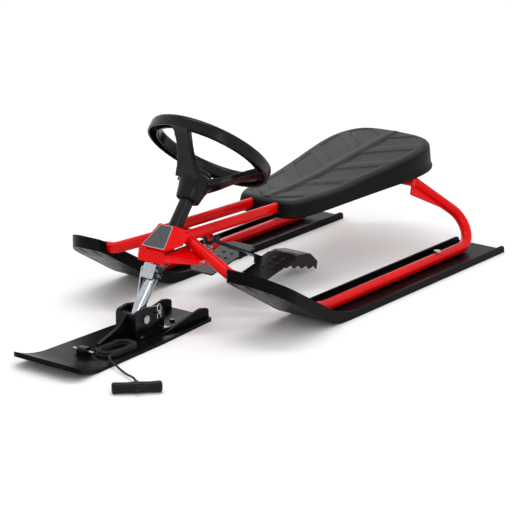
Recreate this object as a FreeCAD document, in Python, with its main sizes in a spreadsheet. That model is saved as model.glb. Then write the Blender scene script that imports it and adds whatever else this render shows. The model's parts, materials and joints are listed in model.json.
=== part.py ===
import FreeCAD, Part
import math
import os

import Sketcher
from FreeCAD import Placement, Rotation, Vector

# Steering sled, in millimetres: x forward, y to the rider's left, z up, ground at z = 0.
# Every length stands in the sheet below; pieces are bound to it or built from it.
SIZES = {
    # runners
    "half_length": 565,
    "half_width": 260,
    "runner_width": 114,
    "runner_wall": 4,
    "runner_floor": 6,
    "runner_side": 15,
    "bend_x": 31,
    "bend_radius": 160,
    "tip_x": 225,
    "tip_low": 117,
    "tip_high": 142,
    "top_bend_x": 5,
    "top_bend_radius": 200,
    "floor_bend_x": 24,
    "floor_bend_radius": 185,
    "tip_wall": 6,
    "tip_floor": 119,
    "tip_outer_radius": 70,
    "tip_inner_radius": 12,
    "side_rear_radius": 9,
    "bay_start": 95,
    "bay_top": 115.8,
    "bay_rib": 4,
    "notch_length": 29,
    "groove_depth": 2.5,
    "groove_width": 9,
    "groove_gap": 32,
    "overrun": 5,
    # frame tubes and bars
    "tube_radius": 11,
    "tube_wall": 1.5,
    "tube_lift": 0.3,
    "tube_head_x": 180,
    "tube_head_y": 24,
    "tube_head_z": 166,
    "tube_knee_x": 198,
    "tube_knee_y": 140,
    "tube_knee_z": 120.5,
    "tube_knee_radius": 58,
    "tube_lip_x": 197,
    "tube_lip_y": 178,
    "tube_lip_z": 119.5,
    "tube_lip_radius": 33,
    "tube_low_x": 21,
    "tube_low_radius": 173,
    "tube_rear_x": 595,
    "tube_rear_radius": 48,
    "upright_x": 446.4,
    "upright_y": 108.4,
    "upright_z": 153,
    "bar_y": 30,
    "bar_width": 13,
    "bar_height": 21,
    "bar_round": 4,
    "bar_wall": 1.6,
    "bar_front_x": 199,
    "bar_front_z": 174,
    "bar_rear_x": 452,
    "bar_drop": 22,
    "crossbar_radius": 8,
    "crossbar_back": 14,
    "sheet": 2.5,
    "bracket_foot": 88,
    "bracket_reach": 26,
    "bolt_radius": 4,
    "bolt_clear": 0.2,
    "bolt_head": 7.5,
    "bolt_head_height": 5,
    "runner_bolt_x": 400,
    "runner_bolt_up": 28.4,
    "runner_bolt_foot": 1.2,
    # steering head
    "head_top_x": 206,
    "head_top_y": 17,
    "head_top_z": 192.5,
    "head_low_x": 252,
    "head_low_y": 29,
    "head_low_z": 158,
    "head_side_x": 210,
    "head_side_y": 37,
    "head_side_z": 160.5,
    "head_back_x": 188,
    "head_back_z": 183.5,
    "wing_front_x": 260,
    "wing_front_z": 135,
    "wing_plate_z": 151.5,
    "wing_plate_front": 254,
    "wing_plate_rear": 172,
    "wing_end_y": 112,
    "wing_end_z": 123,
    "wing_end_front": 214,
    "wing_end_rear": 190,
    "wing_base_rear": 190,
    "axis_x": 221,
    "axis_z": 143,
    "head_tube_radius": 16.3,
    "head_tube_low": 14,
    "head_tube_high": 36,
    "bush_radius": 14.8,
    "bush_length": 16,
    "bush_flange": 17,
    "bush_flange_height": 2.5,
    "run_clear": 0.05,
    # column and wheel
    "column_radius": 13.5,
    "column_wall": 2.4,
    "column_top": 168,
    "collar_radius": 17,
    "collar_top": 16.6,
    "collar_low": 21.5,
    "wheel_radius": 122,
    "rim_low": 213,
    "rim_high": 230,
    "rim_width": 20,
    "rim_skin": 3,
    "rim_round": 7,
    "dish_drop": 53,
    "dish_depth": 24,
    "dish_skin": 3.5,
    "hub_radius": 31,
    "hub_foot_radius": 21,
    "hub_foot": 110,
    "spoke_front": 38,
    "spoke_rear": 27,
    "spoke_wall": 3,
    "opening_round": 15,
    "opening_inner_round": 9,
    "cap_radius": 18,
    "cap_height": 3,
    # fork
    "crown_sheet": 3,
    "crown_half": 14.2,
    "crown_rear": 5,
    "crown_top": 22,
    "crown_front_high": 22,
    "crown_front_high_drop": 33,
    "crown_front_low": 16,
    "crown_low": 60,
    "crown_rear_low": 52,
    "leg_radius": 11,
    "leg_wall": 2.2,
    "leg_over": 12,
    "leg_insert": 15,
    "crown_bolt_ahead": 12,
    "crown_bolt_high": 38,
    "crown_bolt_low": 44,
    "fork_bolt_radius": 3,
    "fork_bolt_head": 5.5,
    "fork_bolt_head_height": 3.5,
    "pivot_x": 306.6,
    "pivot_z": 41,
    "pivot_radius": 5,
    "pivot_head": 8.5,
    "pivot_head_height": 6,
    "stay_inner": 14.4,
    "stay_sheet": 3,
    "stay_width": 18,
    "stay_rivet_z": 112,
    "stay_rivet_head": 5,
    "stay_rivet_head_height": 2,
    "stay_slot_play": 0.7,
    "stay_top_x": 258,
    "stay_top_z": 117,
    "stay_pin_x": 275,
    "stay_pin_z": 48,
    "stay_slot": 8,
    "stay_pin_radius": 3.5,
    "stay_pin_head": 6,
    "stay_pin_head_height": 2.5,
    "stay_pin_near": 34,
    "clip_wire": 1.2,
    "clip_reach": 13,
    "clip_loop": 5,
    # ski
    "ski_rear_x": 143,
    "ski_rear_half": 54,
    "ski_mid_x": 300,
    "ski_mid_half": 66,
    "ski_wide_x": 470,
    "ski_wide_half": 72,
    "ski_tip_half": 79,
    "ski_tip_round": 22,
    "ski_rear_round": 6,
    "ski_deck": 7,
    "ski_bend_x": 520,
    "ski_bend_radius": 200,
    "ski_tip_low": 22,
    "ski_tip_edge": 10,
    "fin_y": 45,
    "fin_sheet": 5,
    "fin_high": 30,
    "fin_round": 16,
    "fin_rear": 3,
    "fin_front_x": 288,
    "keel_half": 5,
    "keel_deep": 3,
    "cheek_inner": 18,
    "cheek_sheet": 6,
    "cheek_rear_x": 250,
    "cheek_front_x": 332,
    "cheek_rear_z": 53,
    "cheek_crest_x": 304,
    "cheek_crest_z": 62,
    "cheek_front_z": 58,
    "cheek_round": 10,
    "pedestal_foot": 4,
    "pedestal_foot_half": 33,
    "pedestal_foot_rear": 240,
    "rib_half": 3.5,
    "rib_top_z": 55,
    "rib_low_z": 16.6,
    "rib_low_x": 411,
    "rib_hollow": 60,
    "rib_bend": 23,
    "pedestal_screw_radius": 3,
    "pedestal_screw_head": 4.2,
    "pedestal_screw_head_height": 2.5,
    "pedestal_screw_y": 28.5,
    "pedestal_screw_rear": 256,
    "pedestal_screw_front": 320,
    "pedestal_screw_deep": 5,
    "knob_x": 207,
    "knob_y": 8,
    "knob_radius": 5,
    "knob_height": 4,
    "anchor_x": 450,
    "anchor_length": 20,
    "anchor_half": 9,
    "anchor_high": 15,
    "anchor_pin_radius": 2.5,
    "anchor_pin_half": 24,
    "anchor_pin_rise": 8,
    # tow rope
    "rope_radius": 2.25,
    "rope_clear": 0.45,
    "hank_x": 398.8,
    "hank_side": 6.2,
    "hank_half_run": 21,
    "hank_wide": 23.9,
    "hank_pitch": 5.2,
    "lead_out_x": 448,
    "lead_edge_x": 463,
    "lead_edge_y": 84,
    "lead_edge_z": 10.2,
    "lead_low_x": 478,
    "lead_low_y": 122,
    "lead_low_z": 4.5,
    "lead_end": 20,
    "handle_x": 530,
    "handle_y": 192,
    "handle_radius": 10.5,
    "handle_waist": 9.6,
    "handle_length": 89,
    "handle_round": 4,
    "neck_length": 27,
    "neck_radius": 7,
    "neck_end_radius": 4.5,
    "knot_radius": 4.5,
    "ground_clear": 0.1,
    # seat
    "seat_front_x": 83,
    "seat_length": 480,
    "seat_half": 124,
    "seat_wall": 3.5,
    "seat_low_front": 148,
    "seat_low_rear": 168,
    "seat_lip": 3,
    "seat_lip_height": 5,
    "seat_high": 32,
    "seat_flat": 150,
    "seat_rise": 24,
    "seat_sweep": 420,
    "seat_tall": 90,
    "seat_edge_round": 7,
    "seat_channel": 5,
    "seat_bar_clear": 1,
    "seat_boss": 8,
    "seat_panel": 1.2,
    "seat_panel_inner": 9,
    "seat_panel_edge": 17,
    "seat_screw_x": 190,
    "seat_screw_y": 68,
    "seat_screw_radius": 3,
    "seat_screw_deep": 8,
    "seat_screw_head": 6,
    "seat_screw_head_height": 3.5,
    # brake
    "axle_x": 119,
    "axle_z": 156,
    "axle_radius": 4,
    "axle_half": 44,
    "cap_head": 7,
    "cap_thick": 5,
    "hanger_sheet": 3,
    "hanger_half": 8,
    "brake_sheet": 3,
    "strap_half": 20,
    "knuckle_radius": 7,
    "knuckle_half": 22,
    "strap_low_x": 115,
    "strap_low_z": 44,
    "fold_x": 166,
    "fold_z": 51,
    "claw_half": 32,
    "claw_tip_x": 222,
    "claw_tip_z": 6,
    "tooth": 7,
    "pedal_inner": 24,
    "pedal_outer": 87,
    "pedal_rear_x": 90,
    "pedal_front_x": 45,
    "pedal_rear_z": 77,
    "pedal_front_z": 52,
    "pedal_round": 12,
    "dot_radius": 4.5,
    "dot_height": 1.5,
    "dot_pitch": 20,
    "spring_x": 95,
    "spring_radius": 7.5,
    "spring_wire": 1.2,
    "spring_y": 8,
    "spring_low": 97,
    "spring_length": 36,
    "spring_lap": 12,
    "rod_length": 26,
    "rod_radius": 3,
    "spring_plate_front": 200,
    "spring_plate_half": 14,
}
TILT = 40
# Seat outline corners on one side: shares of the length, of the half width, and of the half width as radius.
SEAT_SHARES = [
    (0.0, 0.30, 0.18), (0.108, 0.565, 0.5), (0.632, 0.71, 1.6), (0.88, 1.0, 0.32), (0.975, 0.70, 0.5),
    (1.0, 0.30, 0.5),
]
# Raised seat panels: (share of the length where the inner edge starts, where it ends).
PANEL_SHARES = [(0.07, 0.21), (0.29, 0.43), (0.51, 0.65), (0.73, 0.86)]
PANEL_SKEW = 0.76
HANDLE_TURN = 133.8
TOOTH_COUNT = 4
SPRING_TURNS = 6
TURN_STEPS = 20
WIRE_SIDES = 8

doc = FreeCAD.newDocument("SteeringSled")
sheet = doc.addObject("Spreadsheet::Sheet", "Sizes")
pieces = {}


class Size:
    """A length: its value, and the sheet expression that gives it."""

    def __init__(self, value, text):
        self.value = float(value)
        self.text = text

    def __float__(self):
        return self.value

    def __add__(self, other):
        return Size(self.value + float(other), "(" + self.text + " + " + word(other) + ")")

    def __radd__(self, other):
        return Size(float(other) + self.value, "(" + word(other) + " + " + self.text + ")")

    def __sub__(self, other):
        return Size(self.value - float(other), "(" + self.text + " - " + word(other) + ")")

    def __rsub__(self, other):
        return Size(float(other) - self.value, "(" + word(other) + " - " + self.text + ")")

    def __mul__(self, other):
        return Size(self.value * float(other), "(" + self.text + " * " + word(other) + ")")

    __rmul__ = __mul__

    def __truediv__(self, other):
        return Size(self.value / float(other), "(" + self.text + " / " + word(other) + ")")

    def __neg__(self):
        return Size(-self.value, "(0 - " + self.text + ")")


def word(item):
    """The expression text of a size, or of a plain factor."""
    return item.text if isinstance(item, Size) else "%.9f" % float(item)


class Sheet:
    """The sheet's cells as sizes, one attribute for each."""


s = Sheet()
for row, (alias, value) in enumerate(SIZES.items(), start=1):
    sheet.set("A%d" % row, alias)
    sheet.set("B%d" % row, str(value))
    sheet.setAlias("B%d" % row, alias)
    setattr(s, alias, Size(value, "Sizes." + alias))
doc.recompute()


def vec(x, y, z):
    return Vector(float(x), float(y), float(z))


def keep(label, made):
    """Name a finished piece; its label is the name of its file."""
    made.Label = label
    pieces[label] = made
    return made


def outline(drawn, corners):
    """Closed outline in a sketch; a corner is (across, up) or (across, up, radius)."""
    count = len(corners)
    spots = [vec(c[0], c[1], 0) for c in corners]
    come, leave, middle = [], [], []
    for i, corner in enumerate(corners):
        if len(corner) == 2:
            come.append(spots[i])
            leave.append(spots[i])
            middle.append(None)
            continue
        back = (spots[i - 1] - spots[i]).normalize()
        ahead = (spots[(i + 1) % count] - spots[i]).normalize()
        half = back.getAngle(ahead) / 2
        reach = float(corner[2]) / math.tan(half)
        come.append(spots[i] + back * reach)
        leave.append(spots[i] + ahead * reach)
        middle.append(spots[i] + (back + ahead).normalize() * (float(corner[2]) / math.sin(half)))
    first = drawn.GeometryCount
    for i in range(count):
        drawn.addGeometry(Part.LineSegment(leave[i], come[(i + 1) % count]))
    for i, corner in enumerate(corners):
        into, out = first + (i - 1) % count, first + i
        if middle[i] is None:
            drawn.addConstraint(Sketcher.Constraint("Coincident", into, 2, out, 1))
            mark = out
        else:
            start = come[i] - middle[i]
            end = leave[i] - middle[i]
            left = start.cross(end).z > 0
            if not left:
                start, end = end, start
            circle = Part.Circle(middle[i], Vector(0, 0, 1), float(corner[2]))
            turn = Part.ArcOfCircle(circle, math.atan2(start.y, start.x), math.atan2(end.y, end.x))
            arc = drawn.addGeometry(turn)
            drawn.addConstraint(Sketcher.Constraint("Tangent", into, 2, arc, 1 if left else 2))
            drawn.addConstraint(Sketcher.Constraint("Tangent", arc, 2 if left else 1, out, 1))
            at = drawn.addConstraint(Sketcher.Constraint("Radius", arc, float(corner[2])))
            drawn.setExpression("Constraints[%d]" % at, word(corner[2]))
            mark = drawn.addGeometry(Part.Point(spots[i]), True)
            drawn.addConstraint(Sketcher.Constraint("PointOnObject", mark, 1, into))
            drawn.addConstraint(Sketcher.Constraint("PointOnObject", mark, 1, out))
        for kind, part in (("DistanceX", 0), ("DistanceY", 1)):
            at = drawn.addConstraint(Sketcher.Constraint(kind, -1, 1, mark, 1, float(corner[part])))
            drawn.setExpression("Constraints[%d]" % at, word(corner[part]))


def ring(drawn, across, up, radius):
    """Circle in a sketch."""
    circle = drawn.addGeometry(Part.Circle(vec(across, up, 0), Vector(0, 0, 1), float(radius)))
    at = drawn.addConstraint(Sketcher.Constraint("Radius", circle, float(radius)))
    drawn.setExpression("Constraints[%d]" % at, word(radius))
    for kind, value in (("DistanceX", across), ("DistanceY", up)):
        at = drawn.addConstraint(Sketcher.Constraint(kind, -1, 1, circle, 3, float(value)))
        drawn.setExpression("Constraints[%d]" % at, word(value))


def body(name):
    return doc.addObject("PartDesign::Body", name)


def sketch(owner, role, offset=None):
    """Empty sketch on one of the body's own planes; XZ sketches face away from y."""
    drawn = owner.newObject("Sketcher::SketchObject", owner.Name + "_sketch")
    plane = [f for f in owner.Origin.OriginFeatures if f.Role == role][0]
    drawn.AttachmentSupport = [(plane, "")]
    drawn.MapMode = "FlatFace"
    if offset is not None:
        drawn.setExpression("AttachmentOffset.Base.z", word(offset))
    doc.recompute([drawn])
    return drawn


def shaped(owner, kind, drawn, length, both=True, turned=False):
    """Pad or pocket of a sketch by a bound length."""
    made = owner.newObject("PartDesign::" + kind, owner.Name + "_" + kind.lower())
    made.Profile = drawn
    made.SideType = "Symmetric" if both else "One side"
    made.Reversed = turned
    made.setExpression("Length", word(length))
    drawn.Visibility = False
    doc.recompute()
    return made


def solid_of(owner, role, corners, length, offset=None, both=True, turned=False, kind="Pad"):
    drawn = sketch(owner, role, offset)
    outline(drawn, corners)
    return shaped(owner, kind, drawn, length, both, turned)


def rounded(owner, radius, chosen):
    """Fillet of the tip's edges whose middle point passes the test."""
    names = []
    for number, edge in enumerate(owner.Shape.Edges, start=1):
        if chosen(edge, edge.CenterOfMass):
            names.append("Edge%d" % number)
    last = owner.Tip
    made = owner.newObject("PartDesign::Fillet", owner.Name + "_fillet")
    made.Base = (last, names)
    made.setExpression("Radius", word(radius))
    owner.Tip = made
    doc.recompute()
    return made


def upright_edge(edge):
    """Whether an edge is straight and runs along z."""
    run = edge.Vertexes[-1].Point - edge.Vertexes[0].Point
    return abs(run.x) + abs(run.y) < 0.001 * abs(run.z)


def place(made, x, y, z, turn=Rotation()):
    """Placement with a bound base."""
    made.Placement = Placement(vec(x, y, z), turn)
    for axis, value in (("x", x), ("y", y), ("z", z)):
        made.setExpression("Placement.Base." + axis, word(value))
    return made


def mirrored(label, source):
    made = doc.addObject("Part::Mirroring", label)
    made.Source = source
    made.Normal = Vector(0, 1, 0)
    return keep(label, made)


def from_shape(label, shape):
    made = doc.addObject("Part::Feature", label)
    made.Shape = shape
    return keep(label, made)


def group(label, members):
    made = doc.addObject("Part::Compound", label)
    made.Links = members
    return keep(label, made)


def prism(points, along):
    """Solid between a flat polygon and its copy moved along a vector."""
    return Part.Face(Part.makePolygon(points + points[:1])).extrude(along)


def plate(points, thick):
    """Sheet plate of a flat polygon; it grows against the polygon's normal."""
    face = Part.Face(Part.makePolygon(points + points[:1]))
    normal = (points[1] - points[0]).cross(points[2] - points[0]).normalize()
    return face.extrude(normal * -float(thick))


def bent(points, radii):
    """Wire of straight runs and tangent arcs; one radius for each inner point."""
    edges = []
    last = points[0]
    for i in range(1, len(points) - 1):
        back = (points[i - 1] - points[i]).normalize()
        ahead = (points[i + 1] - points[i]).normalize()
        half = back.getAngle(ahead) / 2
        reach = radii[i - 1] / math.tan(half)
        one = points[i] + back * reach
        two = points[i] + ahead * reach
        centre = points[i] + (back + ahead).normalize() * (radii[i - 1] / math.sin(half))
        mid = centre + (points[i] - centre).normalize() * radii[i - 1]
        if (one - last).Length > 1e-6:
            edges.append(Part.LineSegment(last, one).toShape())
        edges.append(Part.Arc(one, mid, two).toShape())
        last = two
    if (points[-1] - last).Length > 1e-6:
        edges.append(Part.LineSegment(last, points[-1]).toShape())
    return Part.Wire(edges)


def swept(wire, radius):
    """Round bar along a wire."""
    first = wire.OrderedEdges[0]
    start = first.valueAt(first.FirstParameter)
    aim = first.tangentAt(first.FirstParameter)
    if (wire.OrderedVertexes[0].Point - start).Length > 1e-6:
        start = first.valueAt(first.LastParameter)
        aim = first.tangentAt(first.LastParameter) * -1
    section = Part.Wire(Part.makeCircle(float(radius), start, aim))
    return wire.makePipeShell([section], True, False)


def bolt(name, radius, length, head, head_height, sides=6):
    """Bolt along +z: its head stands on the plane z = 0, its shank goes down from there."""
    made = body(name)
    top = sketch(made, "XY_Plane")
    if sides == 6:
        corners = []
        for i in range(sides):
            turn = math.radians(60 * i + 30)
            corners.append((head * math.cos(turn), head * math.sin(turn)))
        outline(top, corners)
    else:
        ring(top, Size(0, "0"), Size(0, "0"), head)
    shaped(made, "Pad", top, head_height, both=False)
    low = sketch(made, "XY_Plane")
    ring(low, Size(0, "0"), Size(0, "0"), radius)
    shaped(made, "Pad", low, length, both=False, turned=True)
    return made


def cylinder(name, radius, height):
    made = doc.addObject("Part::Cylinder", name)
    made.setExpression("Radius", word(radius))
    made.setExpression("Height", word(height))
    return made


def cut(name, base, tool):
    made = doc.addObject("Part::Cut", name)
    made.Base = base
    made.Tool = tool
    return made


NONE = Size(0, "0")
TO_LEFT = Rotation(Vector(1, 0, 0), -90)
TO_RIGHT = Rotation(Vector(1, 0, 0), 90)
TURN = Rotation(Vector(0, 1, 0), -TILT)
UPWARD = TURN.multVec(Vector(0, 0, 1))
FORWARD = TURN.multVec(Vector(1, 0, 0))
CENTRE = vec(s.axis_x, NONE, s.axis_z)
on_axis_frame = Placement(CENTRE, TURN)


def on_axis(made, rise=NONE):
    """Place a piece drawn about the steering axis, moved up that axis by rise."""
    base = CENTRE + UPWARD * float(rise)
    made.Placement = Placement(base, TURN)
    lift = word(rise)
    made.setExpression("Placement.Base.x", "Sizes.axis_x - (%s) * sin(%d deg)" % (lift, TILT))
    made.setExpression("Placement.Base.z", "Sizes.axis_z + (%s) * cos(%d deg)" % (lift, TILT))
    return made


def axis_solid(radius, low, high):
    """Plain cylinder about the steering axis between two heights along it."""
    return Part.makeCylinder(float(radius), float(high) - float(low), CENTRE + UPWARD * float(low), UPWARD)


# Runner: a moulded channel whose front end sweeps up; the right one is its mirror image.
runner_y = s.half_width - s.runner_width / 2
runner = body("runner_block")
inside = s.runner_width - s.runner_wall * 2
solid_of(runner, "XZ_Plane", [
    (-s.half_length, NONE),
    (s.bend_x, NONE, s.bend_radius),
    (s.tip_x, s.tip_low),
    (s.tip_x, s.tip_high),
    (s.top_bend_x, s.runner_side, s.top_bend_radius),
    (-s.half_length, s.runner_side),
], s.runner_width)
tip = float(s.tip_x)
over_top = s.tip_high + s.overrun
over_rear = -s.half_length - s.overrun
inner_tip = s.tip_x - s.tip_wall
inner = float(inner_tip)
plan = sketch(runner, "XY_Plane")
outline(plan, [
    (over_rear, -s.runner_width / 2),
    (s.tip_x, -s.runner_width / 2, s.tip_inner_radius),
    (s.tip_x, s.runner_width / 2, s.tip_outer_radius),
    (over_rear, s.runner_width / 2),
])
outline(plan, [
    (over_rear - s.overrun, -s.runner_width),
    (s.tip_x + s.overrun, -s.runner_width),
    (s.tip_x + s.overrun, s.runner_width),
    (over_rear - s.overrun, s.runner_width),
])
shaped(runner, "Pocket", plan, over_top * 2)
rear = -float(s.half_length)
rounded(runner, s.side_rear_radius,
        lambda e, m: abs(m.x - rear) < 0.1 and abs(m.z - float(s.runner_side)) < 0.1)

# The spaces of the runner: its channel from above and three bays from below, inside one plan.
channel = body("runner_channel")
solid_of(channel, "XZ_Plane", [
    (over_rear, s.runner_floor),
    (s.floor_bend_x, s.runner_floor, s.floor_bend_radius),
    (inner_tip, s.tip_floor),
    (inner_tip, over_top),
    (over_rear, over_top),
], inside)
place(channel, NONE, runner_y, NONE)
slope = s.tip_low.value / (s.tip_x.value - s.bend_x.value)
bay = (inside - s.bay_rib * 2) / 3
spaces = [channel]
for share in (-1, 0, 1):
    made = body("runner_bay")
    solid_of(made, "XZ_Plane", [
        (s.bay_start, (s.bay_start - s.bend_x) * slope - s.overrun),
        (inner_tip, (inner_tip - s.bend_x) * slope - s.overrun),
        (inner_tip, s.bay_top),
    ], bay, offset=(bay + s.bay_rib) * -share)
    spaces.append(place(made, NONE, runner_y, NONE))
limit = body("runner_limit")
solid_of(limit, "XY_Plane", [
    (over_rear, -inside / 2),
    (inner_tip, -inside / 2, s.tip_inner_radius - s.runner_wall),
    (inner_tip, inside / 2, s.tip_outer_radius - s.tip_wall),
    (over_rear, inside / 2),
], over_top * 2)
place(limit, NONE, runner_y, NONE)
floor_slope = (s.tip_floor.value - s.runner_floor.value) / (inner - s.floor_bend_x.value)
notch_x = inner_tip - s.tip_inner_radius / 2 - s.notch_length
solid_of(runner, "XZ_Plane", [
    (notch_x, s.tip_floor + (notch_x - inner_tip) * floor_slope),
    (notch_x + s.notch_length, s.tip_floor - (s.tip_inner_radius / 2) * floor_slope),
    (notch_x + s.notch_length, over_top),
    (notch_x, over_top),
], s.runner_wall + s.overrun, offset=inside / 2 - s.runner_wall / 2, both=False, turned=True, kind="Pocket")
for share in (-1, 1):
    solid_of(runner, "XZ_Plane", [
        (over_rear, -s.overrun),
        (s.bend_x - s.groove_gap, -s.overrun),
        (s.bend_x - s.groove_gap * 2, s.groove_depth),
        (over_rear, s.groove_depth),
    ], s.groove_width, offset=s.groove_gap * share, kind="Pocket")
hole = sketch(runner, "XY_Plane")
ring(hole, -s.runner_bolt_x, NONE, s.bolt_radius + s.bolt_clear)
shaped(runner, "Pocket", hole, s.overrun * 4)
place(runner, NONE, runner_y, NONE)
doc.recompute()
joined = doc.addObject("Part::MultiFuse", "runner_spaces")
joined.Shapes = spaces
space = doc.addObject("Part::MultiCommon", "runner_space")
space.Shapes = [joined, limit]
runner_left = keep("runner_left", cut("runner_left_cut", runner, space))
doc.recompute()
mirrored("runner_right", runner_left)

# Frame tube: from the head out to the runner's lip, down its slope, along its floor, up to the seat.
tube_z = s.runner_floor + s.tube_lift + s.tube_radius
route = [
    vec(s.tube_head_x, s.tube_head_y, s.tube_head_z),
    vec(s.tube_knee_x, s.tube_knee_y, s.tube_knee_z),
    vec(s.tube_lip_x, s.tube_lip_y, s.tube_lip_z),
    vec(s.tube_low_x, runner_y, tube_z),
    vec(-s.tube_rear_x, runner_y, tube_z),
    vec(-s.upright_x, s.upright_y, s.upright_z),
]
turns = [float(s.tube_knee_radius), float(s.tube_lip_radius), float(s.tube_low_radius), float(s.tube_rear_radius)]
spine = bent(route, turns)
tube_solid = swept(spine, s.tube_radius)
bore = swept(spine, s.tube_radius - s.tube_wall)
bolt_bore = Part.makeCylinder(float(s.bolt_radius + s.bolt_clear), float(tube_z) * 2, vec(-s.runner_bolt_x, runner_y, NONE))
tube_right_solid = tube_solid.mirror(Vector(0, 0, 0), Vector(0, 1, 0))

# Upper bars: flat-sided hollow section, with a hole for the cross bar near the rear end.
bar_run = s.bar_front_x + s.bar_rear_x
bar_turn = math.degrees(math.atan2(float(s.bar_drop), float(bar_run)))
bar_length = Size(math.hypot(float(bar_run), float(s.bar_drop)), "sqrt((Sizes.bar_front_x + Sizes.bar_rear_x) ^ 2"
                  " + Sizes.bar_drop ^ 2)")
BAR_TURN = Rotation(Vector(0, 1, 0), -bar_turn)
bar = body("upper_bar_left")
section = sketch(bar, "YZ_Plane")
for grow in (NONE, s.bar_wall):
    wide = s.bar_width / 2 - grow
    tall = s.bar_height / 2 - grow
    turn = s.bar_round - grow
    outline(section, [(-wide, -tall, turn), (wide, -tall, turn), (wide, tall, turn), (-wide, tall, turn)])
shaped(bar, "Pad", section, bar_length, both=False)
hole = sketch(bar, "XZ_Plane")
ring(hole, s.crossbar_back, NONE, s.crossbar_radius)
shaped(bar, "Pocket", hole, s.bar_width * 2)
screw_along = (s.bar_rear_x - s.seat_screw_x) * (float(bar_length) / float(bar_run))
hole = sketch(bar, "XY_Plane")
ring(hole, screw_along, NONE, s.seat_screw_radius + s.bolt_clear)
shaped(bar, "Pocket", hole, s.bar_height * 2)
place(bar, -s.bar_rear_x, s.bar_y, s.bar_front_z - s.bar_drop, BAR_TURN)
keep("upper_bar_left", bar)
mirrored("upper_bar_right", bar)

# The tube's front end is coped to the bar that it is welded to.
bar_block = Part.makeBox(float(bar_length), float(s.bar_width), float(s.bar_height),
                         Vector(0, -float(s.bar_width) / 2, -float(s.bar_height) / 2))
bar_block.Placement = bar.Placement
coped = tube_solid.cut(bore).cut(bolt_bore).cut(bar_block)
frame_tube = from_shape("frame_tube_left", max(coped.Solids, key=lambda solid: solid.Volume))
mirrored("frame_tube_right", frame_tube)


def bar_point(along, rise):
    """Point on the middle plane of a bar, from its rear end."""
    return vec(-s.bar_rear_x, NONE, s.bar_front_z - s.bar_drop) + BAR_TURN.multVec(vec(along, NONE, rise))


def bar_height_at(x):
    """Height of the bars' middle line at a given x."""
    return float(s.bar_front_z) - (float(s.bar_front_x) - x) * float(s.bar_drop) / float(bar_run)


# Seat cross bar: a rod through both bars, coped to the uprights.
cross_at = bar_point(s.crossbar_back, NONE)
span = float(s.upright_y) + float(s.tube_radius)
cross_rod = Part.makeCylinder(float(s.crossbar_radius), span * 2, Vector(cross_at.x, -span, cross_at.z), Vector(0, 1, 0))
cross_rod = cross_rod.cut(tube_solid).cut(tube_right_solid)
cross_rod = max(cross_rod.Solids, key=lambda solid: solid.Volume)
for share in (1, -1):
    spot = Vector(cross_at.x, float(s.seat_screw_y) * share, cross_at.z - float(s.crossbar_radius) * 2)
    cross_rod = cross_rod.cut(Part.makeCylinder(float(s.seat_screw_radius + s.bolt_clear), float(s.crossbar_radius) * 4, spot))
from_shape("seat_crossbar", cross_rod)

# Seat bracket: a plate welded along the upright that widens up to the seat.
upright_low = route[4]
upright_high = route[5]
upright_aim = (upright_high - upright_low).normalize()
foot = upright_high - upright_aim * float(s.bracket_foot)
ahead = (Vector(1, 0, 0) - upright_aim * upright_aim.x).normalize()
bracket_points = [
    foot,
    upright_high,
    upright_high + ahead * float(s.tube_radius + s.bracket_reach),
    foot + ahead * float(s.tube_radius + s.sheet),
]
side_of = upright_aim.cross(ahead).normalize()
bracket = prism([p - side_of * float(s.sheet) / 2 for p in bracket_points], side_of * float(s.sheet))
bracket = max(bracket.cut(tube_solid).cut(cross_rod).Solids, key=lambda solid: solid.Volume)
bracket_left = from_shape("seat_bracket_left", bracket)
mirrored("seat_bracket_right", bracket_left)

# Runner bolts pass the tube and the runner floor; their nuts sit in the tube's foot line.
members = []
for share in (1, -1):
    made = bolt("runner_bolt", s.bolt_radius, s.runner_bolt_up - s.runner_bolt_foot, s.bolt_head, s.bolt_head_height)
    members.append(place(made, -s.runner_bolt_x, runner_y * share, s.runner_bolt_up))
group("runner_bolts", members)

# Steering head: sloped front plate with side folds, all of one sheet.
top_l = vec(s.head_top_x, s.head_top_y, s.head_top_z)
low_l = vec(s.head_low_x, s.head_low_y, s.head_low_z)
side_l = vec(s.head_side_x, s.head_side_y, s.head_side_z)
back_l = vec(s.head_back_x, s.head_side_y, s.head_back_z)


def far(point):
    """The mirror image of a point on the other side."""
    return Vector(point.x, -point.y, point.z)


def flipped(shape):
    return shape.mirror(Vector(0, 0, 0), Vector(0, 1, 0))


def folded(spots, faces, thick):
    """Sheet folded along shared edges: faces of corner numbers, thickness set back inside."""
    normals = []
    for face in faces:
        a, b, c = [spots[i] for i in face[:3]]
        normals.append((b - a).cross(c - a).normalize())
    inside_spots = []
    for number, spot in enumerate(spots):
        own = [n for n, face in zip(normals, faces) if number in face]
        mean = Vector(0, 0, 0)
        for normal in own:
            mean = mean + normal
        mean = mean.normalize()
        least = min(mean.dot(normal) for normal in own)
        inside_spots.append(spot - mean * (float(thick) / least))
    skin_faces = []
    used = {}
    for face in faces:
        skin_faces.append([spots[i] for i in face])
        for start in range(1, len(face) - 1):
            skin_faces.append([inside_spots[face[0]], inside_spots[face[start + 1]], inside_spots[face[start]]])
        for i, j in zip(face, face[1:] + face[:1]):
            used[(i, j)] = True
    for i, j in used:
        if (j, i) not in used:
            skin_faces.append([spots[j], spots[i], inside_spots[i]])
            skin_faces.append([spots[j], inside_spots[i], inside_spots[j]])
    made = [Part.Face(Part.makePolygon(points + points[:1])) for points in skin_faces]
    shell = Part.makeShell(made)
    shell.sewShape()
    whole = Part.makeSolid(shell)
    if whole.Volume < 0:
        whole.reverse()
    return whole


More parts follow.
